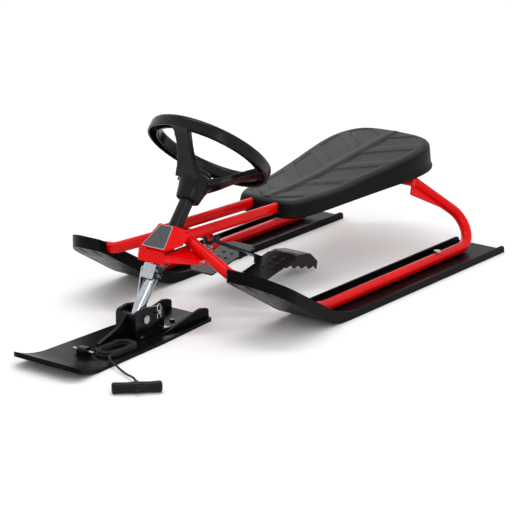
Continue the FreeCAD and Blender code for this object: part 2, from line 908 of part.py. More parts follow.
head_spots = [back_l, side_l, low_l, top_l, far(top_l), far(low_l), far(side_l), far(back_l)]
head = folded(head_spots, [[3, 0, 1], [3, 1, 2], [3, 2, 5, 4], [4, 5, 6], [4, 6, 7]], s.sheet)
print("head", head.isValid(), round(head.Volume))
head = head.cut(tube_solid).cut(tube_right_solid)
head = max(head.Solids, key=lambda solid: solid.Volume)

# Cross plate under the tubes: front band, base with a hole for the head tube, two wings with flanges.
edge_l = vec(s.wing_front_x, s.head_low_y, s.wing_front_z)
band = plate([low_l, far(low_l), far(edge_l), edge_l], s.sheet)
base_rear = vec(s.wing_base_rear, s.head_low_y, s.wing_front_z)
base = plate([edge_l, base_rear, far(base_rear), far(edge_l)], -s.sheet)
wall_top = vec(s.wing_plate_front, s.head_low_y, s.wing_plate_z)
wall_back = vec(s.wing_base_rear, s.head_low_y, s.wing_plate_z)
wall = prism([edge_l, wall_top, wall_back, base_rear], vec(NONE, -s.sheet, NONE))
wing_a = vec(s.wing_plate_front, s.head_low_y - s.sheet, s.wing_plate_z)
wing_b = vec(s.wing_end_front, s.wing_end_y, s.wing_end_z)
wing_c = vec(s.wing_end_rear, s.wing_end_y, s.wing_end_z)
wing_d = vec(s.wing_plate_rear, s.head_low_y - s.sheet, s.wing_plate_z)
wing = prism([wing_a, wing_b, wing_c, wing_d], vec(NONE, NONE, -s.sheet))
drop = edge_l - wall_top
lesser = drop * (float(s.overrun) * 1.4 / drop.Length)
flange = prism([wing_a, wing_b, wing_b + lesser, wing_a + drop], vec(-s.sheet, NONE, NONE))
side = wall.fuse(wing).fuse(flange)
cross = band.fuse(base).fuse(side).fuse(flipped(side))
head_hole = axis_solid(s.head_tube_radius, -s.axis_z, s.axis_z)
collar_way = axis_solid(s.collar_radius + s.bolt_clear * 2, -s.axis_z, -s.head_tube_low)
cross = cross.cut(head_hole).cut(collar_way).cut(tube_solid).cut(tube_right_solid).removeSplitter()
cross = max(cross.Solids, key=lambda solid: solid.Volume)
head = max(head.cut(cross).Solids, key=lambda solid: solid.Volume)
head = head.cut(bar_block).cut(flipped(bar_block))
head = max(head.Solids, key=lambda solid: solid.Volume)
from_shape("steering_head", head)
from_shape("head_wing", cross)

# Head tube and its two plastic bushes, about the steering axis.
head_height = s.head_tube_high + s.head_tube_low
shell = on_axis(cylinder("head_tube_shell", s.head_tube_radius, head_height), -s.head_tube_low)
space = on_axis(cylinder("head_tube_space", s.bush_radius, head_height), -s.head_tube_low)
keep("head_tube", cut("head_tube", shell, space))


def bush(label, low, high, flange_low):
    """Flanged bush: a sleeve and a flange with the column's running bore."""
    sleeve = on_axis(cylinder(label + "_sleeve", s.bush_radius, s.bush_length), low)
    rim = on_axis(cylinder(label + "_rim", s.bush_flange, s.bush_flange_height), flange_low)
    joined = doc.addObject("Part::Fuse", label + "_joined")
    joined.Base = sleeve
    joined.Tool = rim
    way = on_axis(cylinder(label + "_way", s.column_radius + s.run_clear, high - low + s.overrun * 2), low - s.overrun)
    return keep(label, cut(label, joined, way))


bush("head_bush_upper", s.head_tube_high - s.bush_length, s.head_tube_high + s.bush_flange_height, s.head_tube_high)
bush("head_bush_lower", -s.head_tube_low, s.bush_length - s.head_tube_low, -s.head_tube_low - s.bush_flange_height)

# Column: tube with a welded thrust collar below the head.
column = axis_solid(s.column_radius, -s.collar_low, s.column_top)
column = column.fuse(axis_solid(s.collar_radius, -s.collar_low, -s.collar_top))
column = column.cut(axis_solid(s.column_radius - s.column_wall, -s.collar_low - s.overrun, s.column_top + s.overrun))
from_shape("steering_column", column.removeSplitter())

# Wheel: hollow rim, dished spokes hollow underneath, conical hub.
rim_in = float(s.wheel_radius - s.rim_width)
skin = float(s.rim_skin)
low_t = float(s.rim_low)
high_t = float(s.rim_high)
curve = float(s.rim_round)


def lathe(points):
    """Solid of revolution about the wheel axis, from points (radius, height)."""
    flat = [Vector(r, 0, h) for r, h in points]
    return Part.Face(Part.makePolygon(flat + flat[:1])).revolve(Vector(0, 0, 0), Vector(0, 0, 1), 360)


rim_out = float(s.wheel_radius)
rim = lathe([
    (rim_out, low_t),
    (rim_out, high_t - curve),
    (rim_out - curve * 0.3, high_t - curve * 0.3),
    (rim_out - curve, high_t),
    (rim_in + curve, high_t),
    (rim_in + curve * 0.3, high_t - curve * 0.3),
    (rim_in, high_t - curve),
    (rim_in, low_t + skin),
    (rim_in + skin, low_t + skin),
    (rim_in + skin, high_t - curve),
    (rim_in + curve, high_t - skin),
    (rim_out - curve, high_t - skin),
    (rim_out - skin, high_t - curve),
    (rim_out - skin, low_t),
])
hub_top = high_t - curve - float(s.dish_drop)
hub_r = float(s.hub_radius)
depth = float(s.dish_depth)
rise = float(s.dish_drop)
dish = lathe([
    (hub_r - skin * 2, hub_top - depth),
    (hub_r - skin * 2, hub_top),
    (hub_r, hub_top),
    (rim_in + skin / 2, hub_top + rise),
    (rim_in + skin / 2, hub_top + rise - depth),
    (hub_r, hub_top - depth),
])
tall = rise + depth + high_t
widths = [float(s.spoke_front), float(s.spoke_rear), float(s.spoke_rear)]
windows = Part.makeCylinder(rim_in - skin, tall).cut(Part.makeCylinder(hub_r + skin, tall))
for share, wide in enumerate(widths):
    spoke = Part.makeBox(rim_out, wide, tall, Vector(0, -wide / 2, 0))
    windows = windows.cut(spoke.rotate(Vector(0, 0, 0), Vector(0, 0, 1), 120 * share))
soft = []
for window in windows.Solids:
    outer = [e for e in window.Edges if upright_edge(e) and math.hypot(e.CenterOfMass.x, e.CenterOfMass.y) > rim_in * 0.7]
    near = [e for e in window.Edges if upright_edge(e) and math.hypot(e.CenterOfMass.x, e.CenterOfMass.y) <= rim_in * 0.7]
    window = window.makeFillet(float(s.opening_round), outer)
    near = [e for e in window.Edges if upright_edge(e) and math.hypot(e.CenterOfMass.x, e.CenterOfMass.y) < hub_r * 1.6]
    soft.append(window)
for window in soft:
    dish = dish.cut(window)
under = float(s.dish_skin)
hollow = lathe([
    (hub_r + under, hub_top - depth * 2),
    (hub_r + under, hub_top - under + rise * under / (rim_in - hub_r)),
    (rim_in - under, hub_top + rise - under - rise * under / (rim_in - hub_r)),
    (rim_in - under, hub_top - depth * 2),
])
for share, wide in enumerate(widths):
    slot_wide = wide - float(s.spoke_wall) * 2
    slot = Part.makeBox(rim_out, slot_wide, tall, Vector(0, -slot_wide / 2, 0))
    slot = slot.rotate(Vector(0, 0, 0), Vector(0, 0, 1), 120 * share)
    dish = dish.cut(hollow.common(slot))
col_r = float(s.column_radius)
foot_r = float(s.hub_foot_radius)
foot_t = float(s.hub_foot)
socket = float(s.column_top)
hub = lathe([
    (col_r, foot_t),
    (foot_r, foot_t),
    (hub_r * 0.72, hub_top - depth),
    (hub_r, hub_top - depth * 0.4),
    (hub_r, hub_top),
    (hub_r * 0.9, hub_top + skin),
    (float(s.bolt_radius + s.bolt_clear), hub_top + skin),
    (float(s.bolt_radius + s.bolt_clear), socket),
    (col_r, socket),
])
wheel = rim.fuse(dish).fuse(hub).removeSplitter()
wheel = max(wheel.Solids, key=lambda solid: solid.Volume)
on_axis(from_shape("steering_wheel", wheel))

wheel_screw = bolt("wheel_screw", s.bolt_radius, s.dish_depth, s.cap_radius, s.cap_height, sides=0)
hub_rise = s.rim_high - s.rim_round - s.dish_drop + s.rim_skin
keep("wheel_screw", on_axis(wheel_screw, hub_rise))

# Fork crown: a sheet folded round the leg, drawn about the steering axis.
crown = body("fork_crown")
solid_of(crown, "XZ_Plane", [
    (-s.crown_rear, -s.crown_top),
    (s.crown_front_high, -s.crown_front_high_drop),
    (s.crown_front_low, -s.crown_low),
    (-s.crown_rear, -s.crown_rear_low),
], s.crown_half * 2)
solid_of(crown, "XZ_Plane", [
    (-s.crown_rear - s.overrun, -s.crown_top + s.overrun),
    (s.crown_front_high - s.crown_sheet, -s.crown_front_high_drop + s.overrun),
    (s.crown_front_high - s.crown_sheet, -s.crown_front_high_drop),
    (s.crown_front_low - s.crown_sheet, -s.crown_low),
    (s.crown_front_low - s.crown_sheet, -s.crown_low - s.overrun),
    (-s.crown_rear - s.overrun, -s.crown_low - s.overrun),
], s.crown_half * 2 - s.crown_sheet * 2, kind="Pocket")
holes = sketch(crown, "XZ_Plane")
crown_spots = [(s.crown_bolt_ahead, s.crown_bolt_high), (NONE, s.crown_bolt_low)]
for across, height in crown_spots:
    ring(holes, across, -height, s.fork_bolt_radius)
shaped(crown, "Pocket", holes, s.crown_half * 4)
keep("fork_crown", on_axis(crown))

# Fork leg: tube from inside the column down to the pivot.
pivot_t = (vec(s.pivot_x, NONE, s.pivot_z) - CENTRE).dot(UPWARD)
leg_low = pivot_t - float(s.leg_over)
leg = axis_solid(s.leg_radius, leg_low, s.leg_insert)
leg = leg.cut(axis_solid(s.leg_radius - s.leg_wall, leg_low - float(s.overrun), s.leg_insert + s.overrun))
reach = float(s.leg_radius) * 2
for across, height in crown_spots:
    at = CENTRE + FORWARD * float(across) - UPWARD * float(height) - Vector(0, reach, 0)
    leg = leg.cut(Part.makeCylinder(float(s.fork_bolt_radius), reach * 2, at, Vector(0, 1, 0)))
pivot = vec(s.pivot_x, NONE, s.pivot_z)
sleeve_radius = float(s.pivot_radius + s.run_clear)
leg = leg.cut(Part.makeCylinder(sleeve_radius, reach * 2, pivot - Vector(0, reach, 0), Vector(0, 1, 0)))
from_shape("fork_leg", leg)
members = []
for across, height in crown_spots:
    made = bolt("crown_bolt", s.fork_bolt_radius, s.crown_half * 2, s.fork_bolt_head, s.fork_bolt_head_height)
    base = CENTRE + FORWARD * float(across) - UPWARD * float(height)
    made.Placement = Placement(base + vec(NONE, s.crown_half, NONE), TO_LEFT)
    members.append(made)
group("crown_bolts", members)

# Stay: flat strip beside the crown, down to the stay pin in the ski pedestal.
stay_top = vec(s.stay_top_x, NONE, s.stay_top_z)
stay_foot = vec(s.stay_pin_x, NONE, s.stay_pin_z)
stay_aim = (stay_foot - stay_top).normalize()
half = float(s.stay_width) / 2
slot_r = float(s.stay_pin_radius + s.stay_slot_play)
slot_run = float(s.stay_slot)


def strip(start, end, radius, thick, y):
    """Flat strip with round ends in a plane of constant y."""
    aim = (end - start).normalize()
    side = Vector(0, 1, 0).cross(aim)
    a, b = start + side * radius, end + side * radius
    c, d = end - side * radius, start - side * radius
    wire = Part.Wire([
        Part.LineSegment(a, b).toShape(),
        Part.Arc(b, end + aim * radius, c).toShape(),
        Part.LineSegment(c, d).toShape(),
        Part.Arc(d, start - aim * radius, a).toShape(),
    ])
    face = Part.Face(wire)
    face.translate(Vector(0, y, 0))
    return face.extrude(Vector(0, thick, 0))


stay_y = -float(s.stay_inner + s.stay_sheet)
stay = strip(stay_top, stay_foot + stay_aim * slot_run, half, float(s.stay_sheet), stay_y)
slot_aim = Vector(0, 1, 0).cross(stay_foot - pivot).normalize()
slot = strip(stay_foot - slot_aim * slot_run, stay_foot + slot_aim * slot_run, slot_r, float(s.stay_sheet) * 3, stay_y * 1.2)
rivet_at = stay_top + stay_aim * ((float(s.stay_rivet_z) - stay_top.z) / stay_aim.z) + Vector(0, stay_y, 0)
rivet_deep = s.stay_inner + s.stay_sheet - s.crown_half + s.crown_sheet
rivet_hole = Part.makeCylinder(float(s.fork_bolt_radius), float(s.crown_half), rivet_at, Vector(0, 1, 0))
from_shape("fork_stay", stay.cut(slot).cut(rivet_hole))
made = bolt("stay_rivet", s.fork_bolt_radius, rivet_deep, s.stay_rivet_head, s.stay_rivet_head_height, sides=0)
made.Placement = Placement(rivet_at, TO_RIGHT)
keep("stay_rivet", made)
rivet_local = on_axis_frame.inverse().multVec(rivet_at)
hole = sketch(crown, "XZ_Plane", offset=s.crown_half / 2)
ring(hole, Size(rivet_local.x, "%.6f" % rivet_local.x), Size(rivet_local.z, "%.6f" % rivet_local.z), s.fork_bolt_radius)
shaped(crown, "Pocket", hole, s.crown_half * 2, both=False, turned=True)

# Ski: a tapered shovel with an upturned tip, two fins and a keel.
ski = body("ski_blade")
solid_of(ski, "XZ_Plane", [
    (s.ski_rear_x, NONE),
    (s.ski_bend_x, NONE, s.ski_bend_radius),
    (s.half_length, s.ski_tip_low),
    (s.half_length, s.ski_tip_low + s.ski_tip_edge),
    (s.ski_bend_x, s.ski_deck, s.ski_bend_radius - s.ski_deck),
    (s.ski_rear_x, s.ski_deck),
], s.ski_tip_half * 2)
plan = sketch(ski, "XY_Plane")
outline(plan, [
    (s.ski_rear_x, -s.ski_rear_half, s.ski_rear_round),
    (s.ski_mid_x, -s.ski_mid_half),
    (s.ski_wide_x, -s.ski_wide_half),
    (s.half_length, -s.ski_tip_half, s.ski_tip_round),
    (s.half_length, s.ski_tip_half, s.ski_tip_round),
    (s.ski_wide_x, s.ski_wide_half),
    (s.ski_mid_x, s.ski_mid_half),
    (s.ski_rear_x, s.ski_rear_half, s.ski_rear_round),
])
outline(plan, [
    (s.ski_rear_x - s.overrun, -s.ski_tip_half - s.overrun),
    (s.half_length + s.overrun, -s.ski_tip_half - s.overrun),
    (s.half_length + s.overrun, s.ski_tip_half + s.overrun),
    (s.ski_rear_x - s.overrun, s.ski_tip_half + s.overrun),
])
shaped(ski, "Pocket", plan, s.cheek_front_z * 2)
for share in (-1, 1):
    solid_of(ski, "XZ_Plane", [
        (s.ski_rear_x + s.fin_rear, s.ski_deck / 2),
        (s.fin_front_x, s.ski_deck / 2),
        (s.fin_front_x, s.ski_deck),
        (s.ski_rear_x + s.fin_rear + s.fin_round * 1.5, s.fin_high, s.fin_round),
        (s.ski_rear_x + s.fin_rear, s.fin_high - s.fin_round / 3, s.fin_round / 2),
    ], s.fin_sheet, offset=s.fin_y * share)
keep("ski_blade", ski)

# Pedestal: two cheeks and a front rib on a foot plate.
deck = s.ski_deck
foot_top = deck + s.pedestal_foot
pedestal = body("ski_pedestal")
solid_of(pedestal, "XZ_Plane", [
    (s.pedestal_foot_rear, deck),
    (s.cheek_front_x, deck),
    (s.cheek_front_x, foot_top),
    (s.pedestal_foot_rear, foot_top),
], s.pedestal_foot_half * 2)
for share in (-1, 1):
    solid_of(pedestal, "XZ_Plane", [
        (s.cheek_rear_x, deck),
        (s.cheek_front_x, deck),
        (s.cheek_front_x, s.cheek_front_z, s.cheek_round),
        (s.cheek_crest_x, s.cheek_crest_z),
        (s.cheek_rear_x, s.cheek_rear_z, s.cheek_round),
    ], s.cheek_sheet, offset=(s.cheek_inner + s.cheek_sheet / 2) * share)
solid_of(pedestal, "XZ_Plane", [
    (s.cheek_front_x - s.cheek_sheet, deck),
    (s.cheek_front_x, deck),
    (s.cheek_front_x, s.rib_top_z),
    (s.cheek_front_x - s.cheek_sheet, s.rib_top_z),
], s.cheek_inner * 2 + s.cheek_sheet)
solid_of(pedestal, "XZ_Plane", [
    (s.cheek_front_x - s.cheek_sheet / 2, deck),
    (s.rib_low_x, deck),
    (s.rib_low_x, s.rib_low_z),
    (s.cheek_front_x + s.rib_bend, s.rib_low_z * 2, s.rib_hollow),
    (s.cheek_front_x - s.cheek_sheet / 2, s.rib_top_z),
], s.rib_half * 2)
holes = sketch(pedestal, "XZ_Plane")
ring(holes, s.pivot_x, s.pivot_z, s.pivot_radius)
ring(holes, s.stay_pin_x, s.stay_pin_z, s.stay_pin_radius)
shaped(pedestal, "Pocket", holes, s.pedestal_foot_half * 4)
screw_spots = []
for x in (s.pedestal_screw_rear, s.pedestal_screw_front):
    for share in (-1, 1):
        screw_spots.append((x, s.pedestal_screw_y * share))
holes = sketch(pedestal, "XY_Plane")
for x, y in screw_spots:
    ring(holes, x, y, s.pedestal_screw_radius + s.bolt_clear)
shaped(pedestal, "Pocket", holes, foot_top * 3)
keep("ski_pedestal", pedestal)
holes = sketch(ski, "XY_Plane", offset=deck)
for x, y in screw_spots:
    ring(holes, x, y, s.pedestal_screw_radius)
ring(holes, s.knob_x, s.knob_y, s.pedestal_screw_radius)
shaped(ski, "Pocket", holes, s.pedestal_screw_deep, both=False)
members = []
for x, y in screw_spots:
    made = bolt("pedestal_screw", s.pedestal_screw_radius, s.pedestal_foot + s.pedestal_screw_deep,
                s.pedestal_screw_head, s.pedestal_screw_head_height, sides=0)
    members.append(place(made, x, y, foot_top))
group("pedestal_screws", members)

cheek_outer = s.cheek_inner + s.cheek_sheet
made = bolt("pivot_bolt", s.pivot_radius, cheek_outer * 2 + s.pivot_head_height, s.pivot_head, s.pivot_head_height)
keep("pivot_bolt", place(made, s.pivot_x, cheek_outer, s.pivot_z, TO_LEFT))
nut = body("pivot_nut")
drawn = sketch(nut, "XY_Plane")
corners = []
for i in range(6):
    turn = math.radians(60 * i)
    corners.append((s.pivot_head * math.cos(turn), s.pivot_head * math.sin(turn)))
outline(drawn, corners)
ring(drawn, NONE, NONE, s.pivot_radius)
shaped(nut, "Pad", drawn, s.pivot_head_height, both=False)
keep("pivot_nut", place(nut, s.pivot_x, -cheek_outer, s.pivot_z, TO_RIGHT))
members = []
for share in (1, -1):
    space = body("pivot_spacer")
    drawn = sketch(space, "XY_Plane")
    ring(drawn, NONE, NONE, s.pivot_head)
    ring(drawn, NONE, NONE, s.pivot_radius)
    shaped(space, "Pad", drawn, s.cheek_inner - s.leg_radius - s.bolt_clear - s.run_clear * 4, both=False)
    members.append(place(space, s.pivot_x, s.cheek_inner * share, s.pivot_z, TO_RIGHT if share > 0 else TO_LEFT))
group("pivot_spacers", members)
made = bolt("stay_pin", s.stay_pin_radius, cheek_outer + s.stay_pin_near, s.stay_pin_head, s.stay_pin_head_height, sides=0)
hole = sketch(made, "XZ_Plane")
clip_at = cheek_outer + (s.stay_pin_near - cheek_outer) * 0.45
ring(hole, NONE, -cheek_outer - clip_at, s.clip_wire)
shaped(made, "Pocket", hole, s.stay_pin_radius * 4)
keep("stay_pin", place(made, s.stay_pin_x, -cheek_outer, s.stay_pin_z, TO_RIGHT))

# Wire clip through the near end of the stay pin, bent round it.
clip_y = float(clip_at)
px, pz = float(s.stay_pin_x), float(s.stay_pin_z)
loop = float(s.clip_loop)
run = float(s.clip_reach)
fall = float(s.stay_pin_radius + s.clip_wire * 2)
clip_points = [
    Vector(px, clip_y, pz - run),
    Vector(px, clip_y, pz + run),
    Vector(px - loop * 2, clip_y, pz + run),
    Vector(px - loop * 2, clip_y, pz + loop),
    Vector(px - fall * 1.6, clip_y, pz - fall),
    Vector(px - loop * 2, clip_y, pz - run),
]
clip = swept(bent(clip_points, [loop * 0.95, loop * 0.95, loop, loop]), s.clip_wire)
from_shape("stay_clip", clip)

# Rope anchor block with its cross pin, and the deck knob.
anchor = body("rope_anchor_block")
anchor_rear = s.anchor_x - s.anchor_length / 2
anchor_top = deck + s.anchor_high
solid_of(anchor, "XZ_Plane", [
    (anchor_rear, deck),
    (anchor_rear + s.anchor_length, deck),
    (anchor_rear + s.anchor_length, anchor_top, s.anchor_high / 2.5),
    (anchor_rear, anchor_top, s.anchor_high / 2.5),
], s.anchor_half * 2)
hole = sketch(anchor, "XZ_Plane")
ring(hole, s.anchor_x, deck + s.anchor_pin_rise, s.anchor_pin_radius)
shaped(anchor, "Pocket", hole, s.anchor_half * 4)
keep("rope_anchor", cut("rope_anchor_seated", anchor, ski))
pin = cylinder("anchor_pin", s.anchor_pin_radius, s.anchor_pin_half * 2)
keep("anchor_pin", place(pin, s.anchor_x, -s.anchor_pin_half, deck + s.anchor_pin_rise, TO_LEFT))
knob = bolt("deck_knob", s.pedestal_screw_radius, s.pedestal_screw_deep, s.knob_radius, s.knob_height, sides=0)
keep("deck_knob", place(knob, s.knob_x, s.knob_y, deck))

# Brake: a strap from the axle down to a toothed claw, with a pedal at each side.
thick = float(s.brake_sheet)
axle = vec(s.axle_x, NONE, s.axle_z)
low_point = vec(-s.strap_low_x, NONE, s.strap_low_z)
fold = vec(-s.fold_x, NONE, s.fold_z)
strap_half = float(s.strap_half)


def bar_between(a, b, half_width, sheet_thick):
    """Flat sheet run from a to b, its thickness below the line."""
    aim = (b - a).normalize()
    down = Vector(0, 1, 0).cross(aim)
    if down.z > 0:
        down = down * -1
    side_step = Vector(0, half_width, 0)
    flat = [a - side_step, b - side_step, b - side_step + down * sheet_thick, a - side_step + down * sheet_thick]
    return prism(flat, side_step * 2)


knuckle = Part.makeCylinder(float(s.knuckle_radius), float(s.knuckle_half) * 2,
                            axle - vec(NONE, s.knuckle_half, NONE), Vector(0, 1, 0))
brake = bar_between(axle, low_point, strap_half, thick)
brake = brake.fuse(bar_between(low_point + (low_point - fold).normalize() * thick, fold, float(s.claw_half), thick))
brake = brake.fuse(knuckle)
tip_point = vec(-s.claw_tip_x, NONE, s.claw_tip_z)
tooth = float(s.tooth)
claw_front = low_point + vec(s.strap_half, NONE, NONE)
claw_line = [low_point + Vector(0, 0, -thick), fold + Vector(-thick, 0, -thick * 0.3)]
bulge = Vector((fold.x + tip_point.x) / 2 - tooth, 0, fold.z - tooth)
claw_line += [bulge, tip_point + Vector(-tooth * 0.4, 0, tooth * 2.4), tip_point]
start_tooth = tip_point
end_tooth = low_point + Vector(-thick * 2, 0, -tooth * 1.6)
step = (end_tooth - start_tooth) * (1.0 / TOOTH_COUNT)
for count in range(TOOTH_COUNT):
    claw_line.append(start_tooth + step * (count + 0.35) + Vector(0, 0, tooth))
    if count + 1 < TOOTH_COUNT:
        claw_line.append(start_tooth + step * (count + 1))
claw_line.append(end_tooth)
for share in (-1, 1):
    inner_y = float(s.claw_half) * share - (thick if share > 0 else 0)
    flat = [p + Vector(0, inner_y, 0) for p in claw_line]
    brake = brake.fuse(prism(flat, Vector(0, thick, 0)))
tail_side = Vector(0, float(s.claw_half), 0)
for a, b in ((fold + Vector(thick, 0, 0), bulge), (bulge, tip_point + Vector(-tooth * 0.4, 0, tooth * 2.4))):
    brake = brake.fuse(bar_between(a, b, float(s.claw_half) - thick / 2, thick * 0.8))
pedal_rear = vec(-s.pedal_rear_x, NONE, s.pedal_rear_z)
pedal_front = vec(s.pedal_front_x, NONE, s.pedal_front_z)
pedal_fall = (pedal_front.z - pedal_rear.z) / (pedal_front.x - pedal_rear.x)


def pedal_at(x, y, lift=0.0):
    return Vector(x, y, pedal_rear.z + (x - pedal_rear.x) * pedal_fall + lift)


strap_fall = (axle.z - low_point.z) / (axle.x - low_point.x)
meet = (pedal_rear.z - pedal_rear.x * pedal_fall - axle.z + axle.x * strap_fall) / (strap_fall - pedal_fall)
pedal_in, pedal_out = float(s.pedal_inner), float(s.pedal_outer)
curve = float(s.pedal_round)
pedals = None
for share in (-1, 1):
    flat = [
        pedal_at(pedal_rear.x, pedal_in * share),
        pedal_at(pedal_rear.x, (pedal_out - curve) * share),
        pedal_at(pedal_rear.x + curve, pedal_out * share),
        pedal_at(pedal_front.x - curve, pedal_out * share),
        pedal_at(pedal_front.x, (pedal_out - curve) * share),
        pedal_at(pedal_front.x, pedal_in * share),
    ]
    pedal = prism(flat, Vector(0, 0, -thick))
    bridge = prism([
        pedal_at(meet - curve * 2, (strap_half - thick) * share),
        pedal_at(meet - curve * 2, (pedal_in + thick) * share),
        pedal_at(meet + curve * 2, (pedal_in + thick) * share),
        pedal_at(meet + curve * 2, (strap_half - thick) * share),
    ], Vector(0, 0, -thick))
    web_y = strap_half * share - (thick if share > 0 else 0)
    front_x = meet + curve * 2
    web = prism([
        Vector(meet, web_y, pedal_at(meet, 0).z - thick),
        Vector(front_x, web_y, pedal_at(front_x, 0).z - thick),
        Vector(front_x, web_y, axle.z + (front_x - axle.x) * strap_fall - thick / 2),
        Vector(meet, web_y, axle.z + (meet - axle.x) * strap_fall - thick / 2),
    ], Vector(0, thick, 0))
    brake = brake.fuse(pedal).fuse(bridge).fuse(web)
    for row in range(3):
        for line in range(2):
            x = pedal_rear.x + float(s.dot_pitch) * (row + 1.25)
            y = (pedal_in + pedal_out) / 2 + float(s.dot_pitch) * (line - 0.5)
            dot = Part.makeCone(float(s.dot_radius), float(s.dot_radius) * 0.6, float(s.dot_height) * 2,
                                pedal_at(x, y * share, -float(s.dot_height)))
            brake = brake.fuse(dot)
spring_x = float(s.spring_x)
spring_y = float(s.spring_y)
rest_low = float(s.spring_low)
seat_low = rest_low + float(s.spring_length)
seat_top = axle.z + (spring_x - axle.x) * strap_fall
spring_seat = Part.makeCylinder(float(s.spring_radius + s.spring_wire * 2), seat_top - seat_low,
                                Vector(spring_x, spring_y, seat_low), Vector(0, 0, 1))
above = prism([
    axle + Vector(0, -strap_half * 2, 0),
    low_point + Vector(0, -strap_half * 2, 0),
    low_point + Vector(0, -strap_half * 2, float(s.axle_z)),
    axle + Vector(0, -strap_half * 2, float(s.axle_z)),
], Vector(0, strap_half * 4, 0))
brake = brake.fuse(spring_seat.cut(above))
axle_bore = Part.makeCylinder(float(s.axle_radius + s.run_clear), float(s.pedal_outer) * 2,
                              axle - vec(NONE, s.pedal_outer, NONE), Vector(0, 1, 0))
brake = brake.cut(axle_bore).removeSplitter()
print("brake solids", len(brake.Solids))
brake = max(brake.Solids, key=lambda solid: solid.Volume)
from_shape("brake_plate", brake)

# Brake axle on two hangers under the bars, with a cap on each end.
rod = cylinder("brake_axle", s.axle_radius, s.axle_half * 2)
keep("brake_axle", place(rod, s.axle_x, -s.axle_half, s.axle_z, TO_LEFT))
members = []
for share in (1, -1):
    cap = bolt("axle_cap", s.axle_radius, s.bolt_clear, s.cap_head, s.cap_thick, sides=0)
    members.append(cap)
    place(cap, s.axle_x, (s.axle_half + s.bolt_clear) * share, s.axle_z, TO_LEFT if share > 0 else TO_RIGHT)
group("axle_caps", members)
members = []
for share in (1, -1):
    hang = body("axle_hanger")
    under_bar = Size(bar_height_at(float(s.axle_x)) - float(s.bar_height) / 2,
                     "Sizes.bar_front_z - (Sizes.bar_front_x - Sizes.axle_x) * Sizes.bar_drop"
                     " / (Sizes.bar_front_x + Sizes.bar_rear_x) - Sizes.bar_height / 2")
    lean = float(s.bar_drop) / float(bar_run)
    solid_of(hang, "XZ_Plane", [
        (s.axle_x - s.hanger_half, s.axle_z - s.hanger_half, s.hanger_half * 0.9),
        (s.axle_x + s.hanger_half, s.axle_z - s.hanger_half, s.hanger_half * 0.9),
        (s.axle_x + s.hanger_half, under_bar + s.hanger_half * lean),
        (s.axle_x - s.hanger_half, under_bar - s.hanger_half * lean),
    ], s.hanger_sheet, offset=s.bar_y * -share)
    hole = sketch(hang, "XZ_Plane", offset=s.bar_y * -share)
    ring(hole, s.axle_x, s.axle_z, s.axle_radius)
    shaped(hang, "Pocket", hole, s.hanger_sheet * 3)
    members.append(hang)
group("axle_hangers", members)

# Spring bracket from the cross plate, with its guide rod and the coil below the brake's spring seat.
spring_base = Vector(spring_x, spring_y, rest_low)
plate_half = float(s.spring_plate_half)
strip_line = [
    vec(s.wing_base_rear + s.spring_lap, NONE, s.wing_front_z),
    vec(s.wing_base_rear, NONE, s.wing_front_z),
    Vector(spring_x + plate_half * 1.4, 0, rest_low),
    Vector(spring_x - plate_half, 0, rest_low),
]
lower = [point - vec(NONE, NONE, s.sheet) for point in strip_line]
flat = [point - Vector(0, plate_half, 0) for point in strip_line + lower[::-1]]
spring_plate = prism(flat, Vector(0, plate_half * 2, 0))
rod_hole = Part.makeCylinder(float(s.rod_radius), rest_low, Vector(spring_x, spring_y, 0), Vector(0, 0, 1))
rod_hole.translate(Vector(0, 0, rest_low / 2))
from_shape("spring_bracket", spring_plate.cut(rod_hole))
made = cylinder("spring_rod", s.rod_radius, s.rod_length)
keep("spring_rod", place(made, s.spring_x, s.spring_y, s.spring_low - s.sheet))
wire = float(s.spring_wire)
coil_high = seat_low - rest_low - wire * 2 - float(s.run_clear) * 4
coil_low = spring_base + Vector(0, 0, wire + float(s.run_clear) * 2)
rings = []
for step in range(SPRING_TURNS * TURN_STEPS + 1):
    angle = 2 * math.pi * step / TURN_STEPS
    outward = Vector(math.cos(angle), math.sin(angle), 0)
    rise = coil_high * step / (SPRING_TURNS * TURN_STEPS)
    centre = coil_low + outward * float(s.spring_radius) + Vector(0, 0, rise)
    turns = [2 * math.pi * k / WIRE_SIDES for k in range(WIRE_SIDES)]
    rings.append([centre + outward * (wire * math.cos(a)) + Vector(0, 0, wire * math.sin(a)) for a in turns])
facets = [Part.Face(Part.makePolygon(rings[0] + rings[0][:1]))]
facets.append(Part.Face(Part.makePolygon(rings[-1] + rings[-1][:1])))
for near_ring, next_ring in zip(rings, rings[1:]):
    for k in range(WIRE_SIDES):
        m = (k + 1) % WIRE_SIDES
        facets.append(Part.Face(Part.makePolygon([near_ring[k], near_ring[m], next_ring[m], near_ring[k]])))
        facets.append(Part.Face(Part.makePolygon([near_ring[k], next_ring[m], next_ring[k], near_ring[k]])))
shell = Part.Shell(facets)
shell.sewShape()
spring = Part.Solid(shell)
if spring.Volume < 0:
    spring.reverse()
from_shape("brake_spring", spring)

# Seat: a moulded shell with a lip, raised panels on top and bosses underneath.
seat_run = float(s.seat_length)
seat_side = float(s.seat_half)
seat_high = float(s.seat_high)
seat_corners = [(-a * seat_run, b * seat_side, c * seat_side) for a, b, c in SEAT_SHARES]
seat_corners += [(x, -y, radius) for x, y, radius in seat_corners[::-1]]


